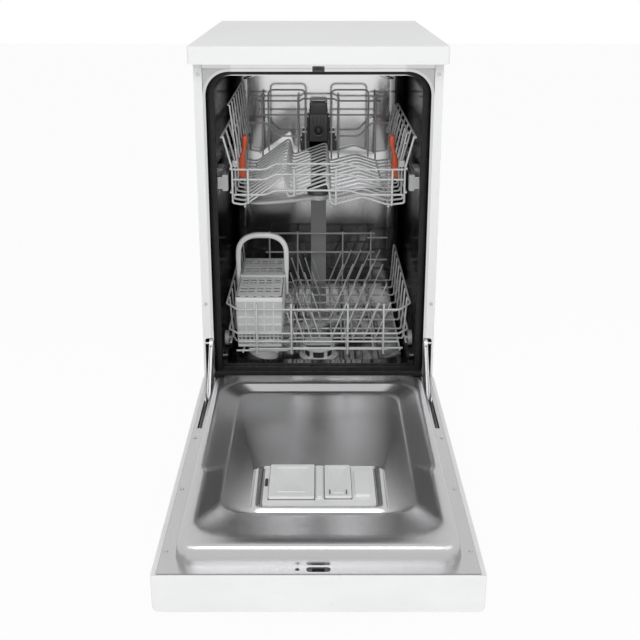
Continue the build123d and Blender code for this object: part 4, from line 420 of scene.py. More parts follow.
def coated(name, colour):
    """Nylon-dipped wire: smooth, slightly uneven, with a soft gloss."""
    finish = Finish(name, colour, 0.32, coat=0.3)
    uneven = finish.spread(finish.noise(35.0), 0.0, 1.0)
    finish.feed("Base Color", finish.tint(uneven, shade(colour, 0.9), shade(colour, 1.04)))
    finish.bump(finish.noise(160.0), 0.15, 0.0006)
    return finish.material


def rubber(name, colour):
    """Extruded rubber: dull, with fine lines of dust and wear."""
    finish = Finish(name, colour, 0.6)
    finish.shader.inputs["Specular IOR Level"].default_value = 0.3
    dust = finish.spread(finish.noise(50.0), 0.0, 1.0)
    finish.feed("Base Color", finish.tint(dust, colour, tuple(c + 0.008 for c in colour[:3])))
    finish.feed("Roughness", finish.spread(finish.noise(120.0), 0.45, 0.65))
    finish.bump(finish.noise(500.0), 0.2, 0.0003)
    return finish.material


def seen_directly(tree):
    """1 for the camera's own rays and for those that a glossy or clear surface passes on, else 0."""
    paths = tree.nodes.new("ShaderNodeLightPath")
    seen = paths.outputs["Is Camera Ray"]
    for kind in ("Glossy", "Transmission"):
        either = tree.nodes.new("ShaderNodeMath")
        either.operation = "MAXIMUM"
        tree.links.new(seen, either.inputs[0])
        tree.links.new(paths.outputs[f"Is {kind} Ray"], either.inputs[1])
        seen = either.outputs[0]
    return seen


# Materials by name, filled by the finishes operator
FINISHES = {}
SLOT_FINISHES = {
    "white_enamel": "enamel",
    "worktop_white": "laminate",
    "stainless": "tub_steel",
    "wire_grey": "wire",
    "steel": "plated",
    "white_plastic": "white_plastic",
    "black_rubber": "rubber",
    "grey_plastic": "grey_plastic",
    "pale_plastic": "pale_plastic",
    "dark_plastic": "dark_plastic",
    "base_plastic": "base_plastic",
    "orange_plastic": "orange_plastic",
}

# Nodes whose look differs from that of their slot
NODE_FINISHES = {
    "dispenser_housing": "pale_plastic",
    "salt_cap": "white_plastic",
    "latch_keeper": "feed_plastic",
    "rail_end_stops": "grey_plastic",
    "left_front_wheel": "grey_plastic",
    "right_front_wheel": "grey_plastic",
    "left_rear_wheel": "grey_plastic",
    "right_rear_wheel": "grey_plastic",
}


def colour_setting(name, description, default):
    return bpy.props.FloatVectorProperty(
        name=name, description=description, subtype="COLOR", default=default, min=0, max=1
    )


def length_setting(name, description, default, smallest, largest):
    return bpy.props.FloatProperty(
        name=name, description=description, default=default, min=smallest, max=largest, unit="LENGTH"
    )


class DISHWASHER_PG_settings(bpy.types.PropertyGroup):
    white: colour_setting("White", "Enamel of the body and the door", (0.87, 0.875, 0.88))
    steel: colour_setting("Steel", "Stainless steel of the tub and the door liner", (0.46, 0.46, 0.465))
    wire: colour_setting("Wire", "Coating of the rack wires", (0.6, 0.605, 0.61))
    pale: colour_setting("Pale plastic", "Cutlery basket and small mouldings", (0.8, 0.805, 0.81))
    orange: colour_setting("Clips", "Levers that set the upper rack's height", (0.8, 0.13, 0.05))
    wire_bend: length_setting("Wire bend", "Reach of the bends in the rack wires", 0.009, 0.002, 0.02)
    press_radius: length_setting(
        "Press radius", "Rounding along the edges of the door liner", 0.016, 0.002, 0.03
    )


def settings():
    return bpy.context.scene.dishwasher


class DISHWASHER_OT_finishes(bpy.types.Operator):
    """Makes the finishes and gives each rigid piece its own"""

    bl_idname = "dishwasher.finishes"
    bl_label = "Finishes"

    def execute(self, context):
        own = settings()
        FINISHES["enamel"] = enamel("white_enamel", own.white)
        FINISHES["laminate"] = enamel("worktop_laminate", shade(own.white, 1.03), 0.36, 0.15)
        # The tub's colour runs from painted shade at 0.34 of the steel, on the side walls and low down, to a
        # painted bright at 1.65 high in the middle.
        FINISHES["tub_steel"] = tub_sheet("tub_steel", shade(own.steel, 1.65), shade(own.steel, 0.34))
        FINISHES["flange_steel"] = stainless("flange_steel", own.steel, 0.3, (1, 1, 12), 0.05)
        FINISHES["liner_steel"] = stainless("liner_steel", shade(own.steel, 1.12), 0.24, (12, 1, 12), 0.02)
        # A darker copy of the pale plastic for the basket's holed walls: their own pale plastic, with the
        # shade seen through the holes painted into the tone.
        FINISHES["panel_plastic"] = moulded("basket_panel", shade(own.pale, 0.72), 0.5)
        FINISHES["arm_plastic"] = moulded("arm_moulding", shade(own.pale, 0.8), 0.36)
        FINISHES["feed_plastic"] = moulded("feed_moulding", (0.075, 0.077, 0.08), 0.34)
        FINISHES["plated"] = stainless("zinc_plate", (0.55, 0.55, 0.56), 0.38, (3, 3, 3), 0.02)
        FINISHES["wire"] = coated("wire_coating", own.wire)
        FINISHES["white_plastic"] = moulded("white_moulding", own.white, 0.33, 600.0, 0.06)
        FINISHES["pale_plastic"] = moulded("pale_moulding", own.pale, 0.42)
        FINISHES["grey_plastic"] = moulded("grey_moulding", (0.42, 0.425, 0.43), 0.4)
        FINISHES["dark_plastic"] = moulded("dark_moulding", (0.035, 0.036, 0.04), 0.38)
        FINISHES["base_plastic"] = moulded("base_moulding", (0.05, 0.05, 0.052), 0.55, 400.0, 0.2)
        FINISHES["orange_plastic"] = moulded("clip_moulding", own.orange, 0.35, 600.0, 0.06)
        FINISHES["rubber"] = rubber("seal_rubber", (0.012, 0.012, 0.013))
        for part in frame["record"]["subparts"]:
            finish = FINISHES[SLOT_FINISHES[part["material_slot"]]]
            mesh = frame["nodes"][part["node"]].data
            mesh.materials.clear()
            mesh.materials.append(finish)
        for name, finish in NODE_FINISHES.items():
            frame["nodes"][name].data.materials[0] = FINISHES[finish]
        return {"FINISHED"}


class DISHWASHER_OT_upper_rack(bpy.types.Operator):
    """Bends the upper rack's wires: floor, flared sides, stepped front, tall back and two loops"""

    bl_idname = "dishwasher.upper_rack"
    bl_label = "Upper rack"

    def execute(self, context):
        bend = settings().wire_bend * 1000
        rack = Shape()
        front, rear = FACE_Y + 100, FACE_Y + 500
        left_half = ((-163, 552), (-163, 545), (-140, 541), (-66, 594), (-58, 556))
        right_half = ((18, 584), (24, 541), (85, 557), (133, 541), (163, 545), (163, 552))
        profile = left_half + right_half
        rows = np.linspace(front + WIRE + 0.2, rear - 12, 13)
        side = ((163, 552), (163, 612), (179, 674))
        rails = ((163, 566), (163, 612), (178.5, 672))
        for row in rows:
            across(rack, profile, row, WIRE, bend)
        for x, z in profile[2:9]:
            if z < 550:
                along_machine(rack, x, z - LAP, rows[0] - WIRE / 2, rows[-1] + WIRE / 2, WIRE)
        for turn in (-1, 1):
            for row in rows[::2]:
                across(rack, [(turn * x, z) for x, z in side], row, WIRE, bend)
            for x, z in rails:
                along_machine(rack, turn * (x + LAP), z, front, rear, WIRE)
            for lug_y in (FACE_Y + 127, FACE_Y + 473):
                left, right = sorted((turn * 154, turn * 163.9))
                boxes(rack, (left, lug_y - 2, 610), (right, lug_y + 2, 622))
        for side_z, centre_z in ((611, 622), (591.6, 601.8), (562, 570.6)):
            rise = ((-160.9, side_z), (-100, side_z), (-82, centre_z))
            fall = ((57, centre_z), (85, side_z), (160.9, side_z))
            across(rack, rise + fall, front, WIRE, bend)
        for x in (-133, -46, 33, 139):
            wire(rack, [(x, front - LAP, slope_z(profile, x) - 1), (x, front - LAP, 613)], WIRE, (1, 0, 0))
        top_rail = ((-137, 678), (-42, 678), (-36, 683), (36, 683), (42, 678), (142, 678))
        shoulder = ((160.8, 628), (121, 628), (94, 597), (40, 597))
        across(rack, top_rail, rear, WIRE, bend)
        for turn in (-1, 1):
            across(rack, ((turn * 26, 646), (turn * 139, 646)), rear, WIRE)
            across(rack, ((turn * 161, 688), (turn * 120, 688)), rear, WIRE)
            across(rack, [(turn * x, z) for x, z in shoulder], rear, WIRE, bend)
        for x, top in ((-128.4, 694), (-46.3, 686), (46.1, 686), (131.3, 694)):
            rear_post(rack, profile, x, top, rear, rows[-1], bend)
        for inner, outer in ((-29.6, -113.4), (29.6, 113.4)):
            feet = [(x, max(slope_z(profile, x - 2), slope_z(profile, x + 2)) + 2.3) for x in (inner, outer)]
            across(rack, [feet[0], (inner, 705), (outer, 705), feet[1]], rows[-1], WIRE, 12)
        rack.build("upper_rack_wires", "upper_basket", FINISHES["wire"], "wire_grey", ["upper_rack"])
        return {"FINISHED"}


class DISHWASHER_OT_cup_shelves(bpy.types.Operator):
    """Bends the hinged grilles on both walls of the upper rack"""

    bl_idname = "dishwasher.cup_shelves"
    bl_label = "Cup shelves"

    def execute(self, context):
        lap = THIN_WIRE * math.cos(math.radians(30)) - WELD
        start, end = FACE_Y + 130, FACE_Y + 470
        lines = (("left", -1, (-170, 728), (0, 0.5, 1)), ("right", 1, (170.5, 675), (0, 0.66, 1)))
        hinge_z = 616
        for name, turn, (far_x, far_z), fractions in lines:
            shelf = Shape()
            hinge_x = turn * 158
            for low, high in ((start - 6, start + 2), (end - 2, end + 6)):
                along_machine(shelf, hinge_x, hinge_z, low, high, THIN_WIRE)
            for part in fractions:
                x, z = hinge_x + (far_x - hinge_x) * part, hinge_z + (far_z - hinge_z) * part
                along_machine(shelf, x, z, start, end, THIN_WIRE)
            for row in np.linspace(start + 4, end - 4, 8):
                across(shelf, [(turn * (158 - lap), hinge_z), (far_x - turn * lap, far_z)], row, THIN_WIRE)
            replaced = [name + "_cup_shelf"]
            shelf.build(name + "_shelf_wires", name + "_shelf", FINISHES["wire"], "wire_grey", replaced)
        return {"FINISHED"}


class DISHWASHER_OT_lower_rack(bpy.types.Operator):
    """Bends the lower rack's wires: floor with its dip, flared sides, front, back and combs of tines"""

    bl_idname = "dishwasher.lower_rack"
    bl_label = "Lower rack"

    def execute(self, context):
        bend = settings().wire_bend * 1000
        rack = Shape()
        front, rear, floor, dip = FACE_Y + 98, FACE_Y + 500, 246, 240.5
        profile = ((-163.6, dip), (-66, dip), (-63, dip), (-57.5, floor), (168, floor))
        rows = np.linspace(front + WIRE + 0.2, rear - WIRE - 0.2, 9)
        longs = ((-150, dip), (-82, dip), (-54, floor), (56, floor), (110, floor), (162, floor))
        right_side = ((168, 246), (170.6, 246), (173, 250), (179, 336))
        left_side = ((163.6, dip), (167, dip), (173, 250), (179, 336))
        for row in rows:
            across(rack, profile, row, WIRE, 4)
        for x, z in longs:
            along_machine(rack, x, z - LAP, rows[0] - WIRE / 2, rows[-1] + WIRE / 2, WIRE)
        for turn, side in ((-1, left_side), (1, right_side)):
            for row in rows[1:]:
                across(rack, [(turn * x, z) for x, z in side], row, WIRE, 5)
            for x, z in ((176, 250), (178, 279), (181.8, 334)):
                along_machine(rack, turn * x, z, front + 22, rear, WIRE)
            for wheel_y in (FACE_Y + 150, FACE_Y + 450):
                wire(rack, [(turn * 176, wheel_y, 248.3), (turn * 190.6, wheel_y, 248.3)], 6, (0, 1, 0))
            for low, x, high in ((329.5, 181.8, 334), (279, 178, 279)):
                wire(rack, [(turn * 158.6, front, low), (turn * x, front + 22, high)], WIRE, (0, 0, 1))
        for z, reach in ((329.5, 159), (279, 159), (261.6, 159), (245.6, 137)):
            across(rack, ((-reach, z), (reach, z)), front, WIRE)
        for x in (-122, -53.5, 57.7, 128.2):
            wire(rack, [(x, front - LAP, 236), (x, front - LAP, 343.5)], WIRE, (1, 0, 0))
        for z in (362.6, 316):
            across(rack, ((-126, z), (134, z)), rear, WIRE)
        for turn in (-1, 1):
            for z in (352, 297):
                across(rack, ((turn * 116, z), (turn * 164, z)), rear, WIRE)
        for x in (-116.5, -49.6, 57.7, 124.5):
            rear_post(rack, profile, x, 366, rear, rows[-1], bend)
        tine_rows = [FACE_Y + y for y in (141, 253, 380, 484)]
        base = floor + WIRE / 2 + THIN_WIRE / 2 + 0.1
        plate_tines = ((25.7, 47.4, 69.2, 91.9, 114.6), 31, 81)
        middle_tines = ((-46.5, -30.5, -14.5, 3.5), -17.5, 61)
        for places, lean, height in (plate_tines, middle_tines):
            for x in places:
                along_machine(rack, x, base, tine_rows[0] - 6, tine_rows[-1] + 6, THIN_WIRE)
                for y in tine_rows:
                    wire(rack, [(x, y, base), (x + lean, y, floor + height)], THIN_WIRE, (0, 1, 0))
        rack.build("lower_rack_wires", "lower_basket", FINISHES["wire"], "wire_grey", ["lower_rack"])
        return {"FINISHED"}


class DISHWASHER_OT_door_liner(bpy.types.Operator):
    """Presses the door liner: a raised plateau with a dished recess and a pad, rounded along every edge"""

    bl_idname = "dishwasher.door_liner"
    bl_label = "Door liner"

    def execute(self, context):
        liner_z, plateau_z, recess_z = 205.1, 233.1, 220.1
        near, far = -546.25, -7.65
        liner = Shape()
        mesh = frame["nodes"]["door_liner"].data
        points = np.empty(len(mesh.vertices) * 3)
        mesh.vertices.foreach_get("co", points)
        points = points.reshape(-1, 3) * 1000
        mesh.calc_loop_triangles()
        corners = np.empty(len(mesh.loop_triangles) * 3, int)
        mesh.loop_triangles.foreach_get("vertices", corners)
        points, merged = np.unique(points.round(3), axis=0, return_inverse=True)
        corners = merged.reshape(-1)[corners].reshape(-1, 3)
        inside = (abs(points[:, 0]) < 197.6) & (points[:, 1] > near - 0.3) & (points[:, 1] < far + 0.3)
        pressed = inside & (points[:, 2] > liner_z - 1.5)
        kept = corners[~pressed[corners].all(axis=1)]
        used, kept = np.unique(kept, return_inverse=True)
        liner.add(points[used], kept.reshape(-1, 3))
        stations = np.array(
            [
                (-197.3, 197.3, near, far, 25, liner_z),
                (-193.9, 193.9, near + 3.4, far - 3.4, 25, plateau_z),
                (-180.5, 180.5, near + 27, far - 41, 44, plateau_z),
                (-146, 146, near + 101, far - 57, 34, recess_z),
                (-101, 103, near + 101.6, -322.2, 12, recess_z),
                (-97.4, 99.4, near + 104.2, -325.4, 10, recess_z + 4.2),
                (-92.5, 94.5, -439.6, -327, 9, recess_z + 6),
                (-86.5, 88.5, -436.2, -328.2, 6, recess_z + 4.8),
                (-83.4, 85.4, -434.65, -328.85, 4, recess_z + 2),
            ]
        )
        press = settings().press_radius * 1000
        smooth = rounded(stations, press)
        rings = np.array([rounded_ring(*s, 12, 48) for s in smooth])
        ahead = np.clip((-340 - rings[..., 1]) / 14, 0, 1)
        ahead = ahead * ahead * (3 - 2 * ahead)
        width = smooth[:, 1:2]
        on_slope = np.clip((width - 146) / 34.5, 0, 1) * np.clip((190 - width) / 9, 0, 1)
        rings[..., 0] *= 1 - 0.036 * ahead * on_slope
        lofted(liner, rings)
        liner.build("door_liner_press", "door", FINISHES["liner_steel"], "stainless", ["door_liner"], 50.0)
        return {"FINISHED"}


class DISHWASHER_OT_basket(bpy.types.Operator):
    """Moulds the cutlery basket: tapered grille walls, barred floor, middle bar, slotted lids and handle"""

    bl_idname = "dishwasher.basket"
    bl_label = "Cutlery basket"

    def execute(self, context):
        x, y, low, high = -117, FACE_Y + 230, 242.8, 350
        wall = 2.0

        def taper(points, side):
            """Wall coordinates (along -1..1, depth, z) laid on one of the four leaning walls."""
            share = (points[:, 2] - low) / (high - low)
            half, length = 44 + 3.5 * share, 114 + 6 * share
            along, depth = points[:, 0], points[:, 1]
            if side in "fb":
                turn = -1 if side == "f" else 1
                return np.stack([x + along * half, y + turn * (length - depth), points[:, 2]], -1)
            turn = -1 if side == "l" else 1
            return np.stack([x + turn * (half - depth), y + along * length, points[:, 2]], -1)

        basket, panels = Shape(), Shape()
        coarse_rows = [(341, 350), (322.6, 325), (306.2, 308.6), (289.8, 292.2), (272.6, 276)]
        rows = coarse_rows + [(264.4, 266.4), (256.2, 258.2), (low, 249)]
        for side, coarse, fine in (("f", 5, 11), ("b", 5, 11), ("l", 12, 27), ("r", 12, 27)):
            on_wall = partial(taper, side=side)
            bars_low = [(-1, 0, a) for a, b in rows]
            bars_high = [(1, wall, b) for a, b in rows]
            # Solid panels stand for the finely holed walls behind the bars. Their darker finish paints in the
            # shade seen through the holes.
            boxes(panels, (-1, 1, 274), (1, wall + 0.1, 348), on_wall)
            width = 0.016 if side in "lr" else 0.04
            for count, bottom, top in ((coarse, 272, 342), (fine, 248, 273)):
                places = np.linspace(-1 + width / 2, 1 - width / 2, count + 1)
                bars_low += [(p - width / 2, 0, bottom) for p in places]
                bars_high += [(p + width / 2, wall - 0.3, top) for p in places]
            boxes(basket, bars_low, bars_high, on_wall)
        pitch, half_bar = 12, 1.2
        for b in [y - 108 + pitch * k for k in range(19)]:
            boxes(basket, (x - 43, b - half_bar, low), (x + 43, b + half_bar, low + 1.6))
        for b in [x - 36 + pitch * k for k in range(7)]:
            boxes(basket, (b - half_bar, y - 113, low + 0.2), (b + half_bar, y + 113, low + 1.8))
        slab(basket, x - 47, x + 47, y - 0.5, y + 10.5, 342, 354, 1.5, 0.8)
        boxes(basket, (x - 44, y + 4, low + 1), (x + 44, y + 6, 343))
        basket.build("basket_grille", "cutlery", FINISHES["pale_plastic"], "pale_plastic", ["cutlery_basket"])
        panels.build("basket_panels", "cutlery", FINISHES["panel_plastic"], "pale_plastic")
        handle = Shape()
        reach, foot, top, rise = 50, 312, 440.6, 44
        turn = np.linspace(0, np.pi, 33)
        c, s = np.cos(turn), np.sin(turn)
        arch_x = x + reach * np.sign(c) * abs(c) ** 0.76
        arch_z = top - rise + rise * abs(s) ** 0.76
        arch = np.stack([arch_x, np.full(33, y + 5), arch_z], -1)
        leg = np.array([(51, foot), (51, 340), (50.8, 352), (50.1, 366)])
        right = [(x + a, y + 5, z) for a, z in leg]
        left = [(x - a, y + 5, z) for a, z in leg[::-1]]
        path = np.concatenate([right, arch, left])
        thick = np.full(len(path), 5.4)
        thick[:4] = (3.0, 3.0, 3.4, 5.2)
        thick[-4:] = thick[3::-1]
        section = round_section(1, 1, 3.5)[None] * np.stack([np.full(len(path), 6.2), thick], -1)[:, None]
        carried(handle, path, section, (0, 1, 0))
        handle.build("basket_bow", "cutlery", FINISHES["pale_plastic"], "pale_plastic", ["basket_handle"])
        for name, turn in (("front", -1), ("rear", 1)):
            lid = Shape()
            hinge, end = y + 5 + turn * 8.6, y + turn * 116.5
            span = abs(end - hinge)
            gaps = np.array([16, 31, 65, 80])
            starts, ends = np.concatenate([[0], gaps + 9]), np.concatenate([gaps, [span]])
            edges = np.sort(hinge + turn * np.stack([starts, ends], -1), axis=1)
            boxes(lid, [(x - 43.5, a, 350.6) for a, b in edges], [(x + 43.5, b, 352) for a, b in edges])
            ribs = np.array([-41, -24.5, -8.2, 8.2, 24.5, 41])
            near, far = sorted((hinge, end))
            boxes(lid, [(x + a - 2.2, near, 350.7) for a in ribs], [(x + a + 2.2, far, 351.9) for a in ribs])
            wire(lid, [(x - 43.5, hinge, 351.8), (x + 43.5, hinge, 351.8)], 3, (0, 1, 0))
            replaced = [name + "_basket_lid"]
            lid.build(name + "_lid_slats", name + "_lid", FINISHES["pale_plastic"], "pale_plastic", replaced)
        return {"FINISHED"}


class DISHWASHER_OT_water_parts(bpy.types.Operator):
    """Moulds the filter cup, both spray arms and the docking block behind the upper rack"""

    bl_idname = "dishwasher.water_parts"
    bl_label = "Filter, arms and feed"

    def execute(self, context):
        centre = (0, FACE_Y + 190)
        cup = Shape()
        rim_outside = ((28.8, 210.5), (33.2, 210.5), (34.2, 211.5), (34.2, 216.4))
        rim_inside = ((33, 218), (30.5, 218), (29.2, 217), (28.8, 215))
        flange_edge = ((28.6, 192), (39.4, 192), (40, 192.8), (39.2, 194))
        flange_neck = ((32, 194.6), (30.4, 196.6), (28.6, 196.6))
        lathe(cup, rim_outside + rim_inside, centre)
        lathe(cup, flange_edge + flange_neck, centre)
        lathe(cup, ((28.4, 166), (30, 166), (30, 193), (28.4, 193)), centre)
        for k in range(6):
            middle = math.radians(60 * k)

            def post(points, middle=middle):
                angle, radius = middle + points[:, 0], points[:, 1]
                x, y = centre[0] + radius * np.cos(angle), centre[1] + radius * np.sin(angle)
                return np.stack([x, y, points[:, 2]], -1)

            steps = np.linspace(-0.13, 0.13, 5)
            boxes(cup, [(a, 28.5, 195) for a in steps[:-1]], [(b, 30.4, 212) for b in steps[1:]], post)
        slab(cup, -29, 29, centre[1] - 4, centre[1] + 4, 213.5, 217.6, 1.5, 0.8)
        cup.build("filter_frame", "filter", FINISHES["pale_plastic"], "grey_plastic", ["filter_cup"])
        gauze = Shape()
        lathe(gauze, ((26.6, 166.5), (27.8, 166.5), (27.8, 211), (26.6, 211)), centre)
        gauze.build("filter_gauze", "filter", FINISHES["dark_plastic"], "dark_plastic")
        arms = (
            ("lower", "lower_arm", FACE_Y + 280, 222.3, 10, 25, "lower_spray_arm"),
            ("upper", "upper_arm", FACE_Y + 297, 501.7, 12, 22, "upper_spray_arm"),
        )
        for name, body, y, low, thick, angle, node in arms:
            arm = Shape()
            u = np.linspace(-1, 1, 41)
            turn = math.radians(angle)
            top = low + thick
            lean = 3.4 * np.sin(np.pi * u)
            path = np.stack(
                [
                    152 * u * math.cos(turn) - lean * math.sin(turn),
                    y + 152 * u * math.sin(turn) + lean * math.cos(turn),
                    np.full(41, low + thick / 2),
                ],
                -1,
            )
            width = 15.5 * np.sqrt(np.clip(1 - abs(u) ** 7, 0.05, 1)) * (1 - 0.22 * abs(u))
            height = (thick / 2 - 0.1) * np.sqrt(np.clip(1 - abs(u) ** 9, 0.05, 1)) * (1 - 0.3 * abs(u))
            section = round_section(1, 1, 3, 24)[None] * np.stack([width, height], -1)[:, None]
            carried(arm, path, section, (-math.sin(turn), math.cos(turn), 0))
            hub = ((6.2, low), (18, low), (20, low + 1.5), (20, top - 2), (18, top), (6.2, top))
            lathe(arm, hub, (0, y))
            arm.build(name + "_arm_blades", body, FINISHES["arm_plastic"], "grey_plastic", [node])
        feed = Shape()
        front, back = FACE_Y + 502.4, 503.6
        for half, near, low, high, corner in (
            (20, 469.8, 646, 675, 3),
            (17, front - 1, 674, 677, 2),
            (22, 469.8, 585, 650, 3),
            (26, front, 596, 640, 3),
            (42, front, 562, 586, 3),
            (38, front, 584, 604, 3),
            (23, front, 556, 600, 2),
            (16, front, 514, 574, 2),
        ):
            slab(feed, -half, half, near, back, low, high, corner, 1.6)
        slab(feed, -15, 15, FACE_Y + 297, back, 514, 530, 2, 2)
        lathe(feed, ((5.8, 514), (22, 514), (24, 516), (24, 527), (22, 530), (5.8, 530)), (0, FACE_Y + 297))
        lathe(feed, ((0.4, 501.2), (5.6, 501.2), (6, 502), (6, 514.5), (0.4, 514.5)), (0, FACE_Y + 297), 32)
        port_z = 610.6
        collar = ((8.6, 471), (12.4, 471), (12.4, 466.4), (11.6, 465.2), (9.2, 465.6), (8.6, 468.4))
        facing_lathe(feed, collar, port_z)
        for rib in (-12, -4, 4, 12):
            slab(feed, rib - 1.2, rib + 1.2, 468.6, 471, 626, 644, 0.8, 0.5)
        plug = Shape()
        dome = ((0.2, 471), (8.4, 471), (8.4, 468.6), (7.4, 467.4), (4, 466.6), (0.2, 466.4))
        facing_lathe(plug, dome, port_z)
        plug.build("feed_port", "upper_basket", FINISHES["dark_plastic"], "dark_plastic")
        feed.build("feed_block", "upper_basket", FINISHES["feed_plastic"], "dark_plastic", ["upper_arm_feed"])
        return {"FINISHED"}


class DISHWASHER_OT_mouldings(bpy.types.Operator):
    """Moulds the height clips and the lids of the dispenser, and lays dark lines round the lids as painted
    shade in their gaps
    """

    bl_idname = "dishwasher.mouldings"
    bl_label = "Small mouldings"

    def execute(self, context):
        clips = Shape()
        y = FACE_Y + 251
        stations = np.array(
            [
                (155.9, 7.4, 561, 10),
                (155.9, 7.9, 563, 11),
                (156.3, 7.4, 590, 11),
                (155.6, 6.2, 604, 11),
                (153, 4.2, 612, 10),
                (151.2, 4, 621, 9),
                (149.6, 5.8, 631, 9),
                (149.4, 6.4, 638, 9),
                (149.4, 5.4, 645, 8),
                (149.4, 2.4, 648, 6),
            ]
        )
        fine = np.linspace(0, 1, 41)
        spaced = np.linspace(0, 1, len(stations))
        centre, half, height, depth = (np.interp(fine, spaced, stations[:, k]) for k in range(4))
        for turn in (-1, 1):
            path = np.stack([turn * centre, np.full(41, y), height], -1)
            section = round_section(1, 1, 4, 24)[None] * np.stack([half, depth], -1)[:, None]
            carried(clips, path, section, (1, 0, 0))
        orange = FINISHES["orange_plastic"]
        clips.build("clip_levers", "upper_basket", orange, "orange_plastic", ["height_clips"])
        wide_lid = (-74.5, -6.1, FACE_Y - 398, FACE_Y - 307, 226.4, 230.9)
        small_lid = (9.3, 49.5, FACE_Y - 396, FACE_Y - 308, 226.4, 230.4)
        lids = (
            ("detergent_cover", "detergent_flap", wide_lid, "detergent_lid", 9),
            ("rinse_cover", "rinse_aid_flap", small_lid, "rinse_aid_lid", 6),
        )
        for name, body, box, node, margin in lids:
            lid = Shape()
            slab(lid, *box, 3, 0.9, (margin, 0.9))
            left, right, near, far, low, high = box
            bar_left, bar_right, bar_near = left + margin + 4, right - margin - 4, near + margin + 5
            slab(lid, bar_left, bar_right, bar_near, near + margin + 8, high - 1, high + 0.3, 1, 0.4)
            lid.build(name, body, FINISHES["pale_plastic"], "white_plastic", [node])
        marks = Shape()
        # Thin dark frames under the lids' edges: painted shade in the gaps between the lids and the housing.
        wide_frame = (-75.4, -5.2, FACE_Y - 398.9, FACE_Y - 306.1)
        small_frame = (8.5, 50.3, FACE_Y - 396.8, FACE_Y - 307.2)
        line = 1.6
        for left, right, near, far in (wide_frame, small_frame):
            low = [(left, near), (left, far - line), (left, near), (right - line, near)]
            high = [(right, near + line), (right, far), (left + line, far), (right, far)]
            boxes(marks, [(a, b, 225.8) for a, b in low], [(a, b, 226.2) for a, b in high])
        # A dark block at the notch beside the wide lid: painted shade in the notch.
        slab(marks, -81.5, -77, FACE_Y - 362, FACE_Y - 344, 225.5, 228.6, 1, 0.4)
        marks.build("dispenser_gap_shade", "door", FINISHES["dark_plastic"], "dark_plastic")
        grips = Shape()
        for x in (17, 41.8):
            slab(grips, x - 0.7, x + 0.7, FACE_Y - 390, FACE_Y - 378, 230, 230.9, 0.5, 0.2)
        grips.build("rinse_marks", "rinse_aid_flap", FINISHES["dark_plastic"], "dark_plastic")
        return {"FINISHED"}


class DISHWASHER_OT_tub_beads(bpy.types.Operator):
    """Adds the wavy beads of the tub's back wall, the front frame's corners and the lower seal's lip"""

    bl_idname = "dishwasher.tub_beads"
    bl_label = "Tub beads"

    def execute(self, context):
        beads = Shape()
        t = np.linspace(0, 1, 25)
        ease = t * t * (3 - 2 * t)
        left_beads = ((-178, -116, 741, 758), (-176, -122, 724, 738))
        middle_bead = ((-40, 42, 744, 736),)
        right_beads = ((178, 116, 741, 758), (176, 122, 724, 738))
        for x0, x1, z0, z1 in left_beads + middle_bead + right_beads:
            path = np.stack([x0 + (x1 - x0) * t, np.full(25, 516.6), z0 + (z1 - z0) * ease], -1)
            size = np.sqrt(np.clip(np.sin(np.pi * (0.04 + 0.92 * t)), 0, 1))[:, None, None]
            carried(beads, path, size * round_section(2.2, 4, 2), (0, 1, 0))
        beads.build("tub_beads", "cabinet", FINISHES["tub_steel"], "stainless")
        corners = Shape()
        steps = np.linspace(0, np.pi / 2, 13)
        arc = 44.4
        for turn in (-1, 1):

            def corner(points, turn=turn):
                angle, share = points[:, 0], points[:, 1]
                across_reach = 47.3 / np.maximum(np.cos(angle), 1e-6)
                upward_reach = 47.9 / np.maximum(np.sin(angle), 1e-6)
                radius = arc + share * (np.minimum(across_reach, upward_reach) - arc)
                x, z = turn * (160 + radius * np.cos(angle)), 756 + radius * np.sin(angle)
                return np.stack([x, points[:, 2], z], -1)

            boxes(corners, [(a, 0, 37.7) for a in steps[:-1]], [(b, 1, 38.6) for b in steps[1:]], corner)
        corners.build("frame_corners", "cabinet", FINISHES["flange_steel"], "stainless")
        lip = Shape()
        slab(lip, -202, 202, 48, 76.4, 205.4, 209, 2, 0.8)
        lip.build("lower_seal_lip", "cabinet", FINISHES["rubber"], "black_rubber")
        return {"FINISHED"}


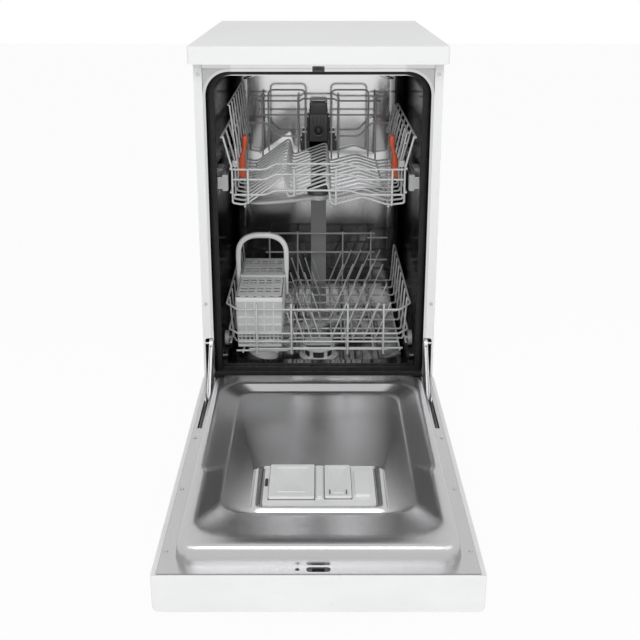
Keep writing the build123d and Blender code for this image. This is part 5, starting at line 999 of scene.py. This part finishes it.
class DISHWASHER_OT_stage(bpy.types.Operator):
    """Lays the pale floor, hangs the soft lights and sets the camera"""

    bl_idname = "dishwasher.stage"
    bl_label = "Stage"

    def execute(self, context):
        scene = context.scene
        scene.view_settings.view_transform = "Standard"
        mesh = bpy.data.meshes.new("floor")
        reach = 9
        ends = ((-reach, -reach, 0), (reach, -reach, 0), (reach, reach, 0), (-reach, reach, 0))
        mesh.from_pydata(ends, [], [(0, 1, 2, 3)])
        floor = bpy.data.objects.new("floor", mesh)
        scene.collection.objects.link(floor)
        ground = Finish("pale_floor", (1.0, 1.0, 1.0), 0.9)
        seen = Value(ground, seen_directly(ground.tree))
        white = ground.node("ShaderNodeEmission", {}, (1, 1, 1, 1), 1.0)
        matt = Value(ground, ground.shader.outputs[0])
        blend = ground.node("ShaderNodeMixShader", {}, seen * 0.93, matt, white)
        ground.tree.links.new(blend.socket, ground.tree.nodes["Material Output"].inputs["Surface"])
        mesh.materials.append(ground.material)
        world = bpy.data.worlds.new("studio")
        scene.world = world
        world.use_nodes = True
        sky = world.node_tree.nodes["Background"]
        level = world.node_tree.nodes.new("ShaderNodeMapRange")
        level.inputs["To Min"].default_value = 0.5
        level.inputs["To Max"].default_value = 1.0
        world.node_tree.links.new(seen_directly(world.node_tree), level.inputs["Value"])
        world.node_tree.links.new(level.outputs[0], sky.inputs["Strength"])
        sky.inputs["Color"].default_value = (1, 1, 1, 1)
        # Each lamp's name, place, aim, size in metres and power in watts
        lamps = (
            ("key_light", (-1.3, -2.2, 2.4), (0, 0.1, 0.5), 2.0, 10),
            ("fill_light", (1.6, -1.9, 1.8), (0, 0.1, 0.5), 1.8, 8),
            ("front_light", (0, -2.5, 1.75), (0, 0.25, 0.45), 1.2, 19),
        )
        for name, place, aim, size, power in lamps:
            light = bpy.data.lights.new(name, "AREA")
            light.size, light.energy = size, power
            lamp = bpy.data.objects.new(name, light)
            lamp.location = place
            lamp.rotation_euler = (Vector(aim) - Vector(place)).to_track_quat("-Z", "Y").to_euler()
            scene.collection.objects.link(lamp)
        view = bpy.data.cameras.new("camera")
        camera = bpy.data.objects.new("camera", view)
        camera.location = (0, -1.6129, 1.0047)
        camera.rotation_euler = (math.radians(90 - 16.42), 0, 0)
        view.sensor_width = SENSOR_WIDTH
        view.lens = FOCAL_PIXELS * SENSOR_WIDTH / PHOTO_PIXELS
        view.shift_x = 0.0024
        view.shift_y = -0.152
        scene.collection.objects.link(camera)
        scene.camera = camera
        return {"FINISHED"}


OPERATORS = (
    DISHWASHER_OT_finishes,
    DISHWASHER_OT_upper_rack,
    DISHWASHER_OT_cup_shelves,
    DISHWASHER_OT_lower_rack,
    DISHWASHER_OT_door_liner,
    DISHWASHER_OT_basket,
    DISHWASHER_OT_water_parts,
    DISHWASHER_OT_mouldings,
    DISHWASHER_OT_tub_beads,
    DISHWASHER_OT_stage,
)


class DISHWASHER_PT_panel(bpy.types.Panel):
    """Lists the dishwasher's pieces in the sidebar"""

    bl_idname = "DISHWASHER_PT_panel"
    bl_label = "Dishwasher"
    bl_space_type = "VIEW_3D"
    bl_region_type = "UI"
    bl_category = "Dishwasher"

    def draw(self, context):
        own = context.scene.dishwasher
        for name in own.__annotations__:
            self.layout.prop(own, name)
        for operator in OPERATORS:
            self.layout.operator(operator.bl_idname)


CLASSES = (DISHWASHER_PG_settings, *OPERATORS, DISHWASHER_PT_panel)


def register():
    for made in CLASSES:
        bpy.utils.register_class(made)
    bpy.types.Scene.dishwasher = bpy.props.PointerProperty(type=DISHWASHER_PG_settings)


def unregister():
    del bpy.types.Scene.dishwasher
    for made in reversed(CLASSES):
        bpy.utils.unregister_class(made)


def main():
    register()
    for operator in OPERATORS:
        group, name = operator.bl_idname.split(".")
        getattr(getattr(bpy.ops, group), name)()


if __name__ == "__main__":
    main()
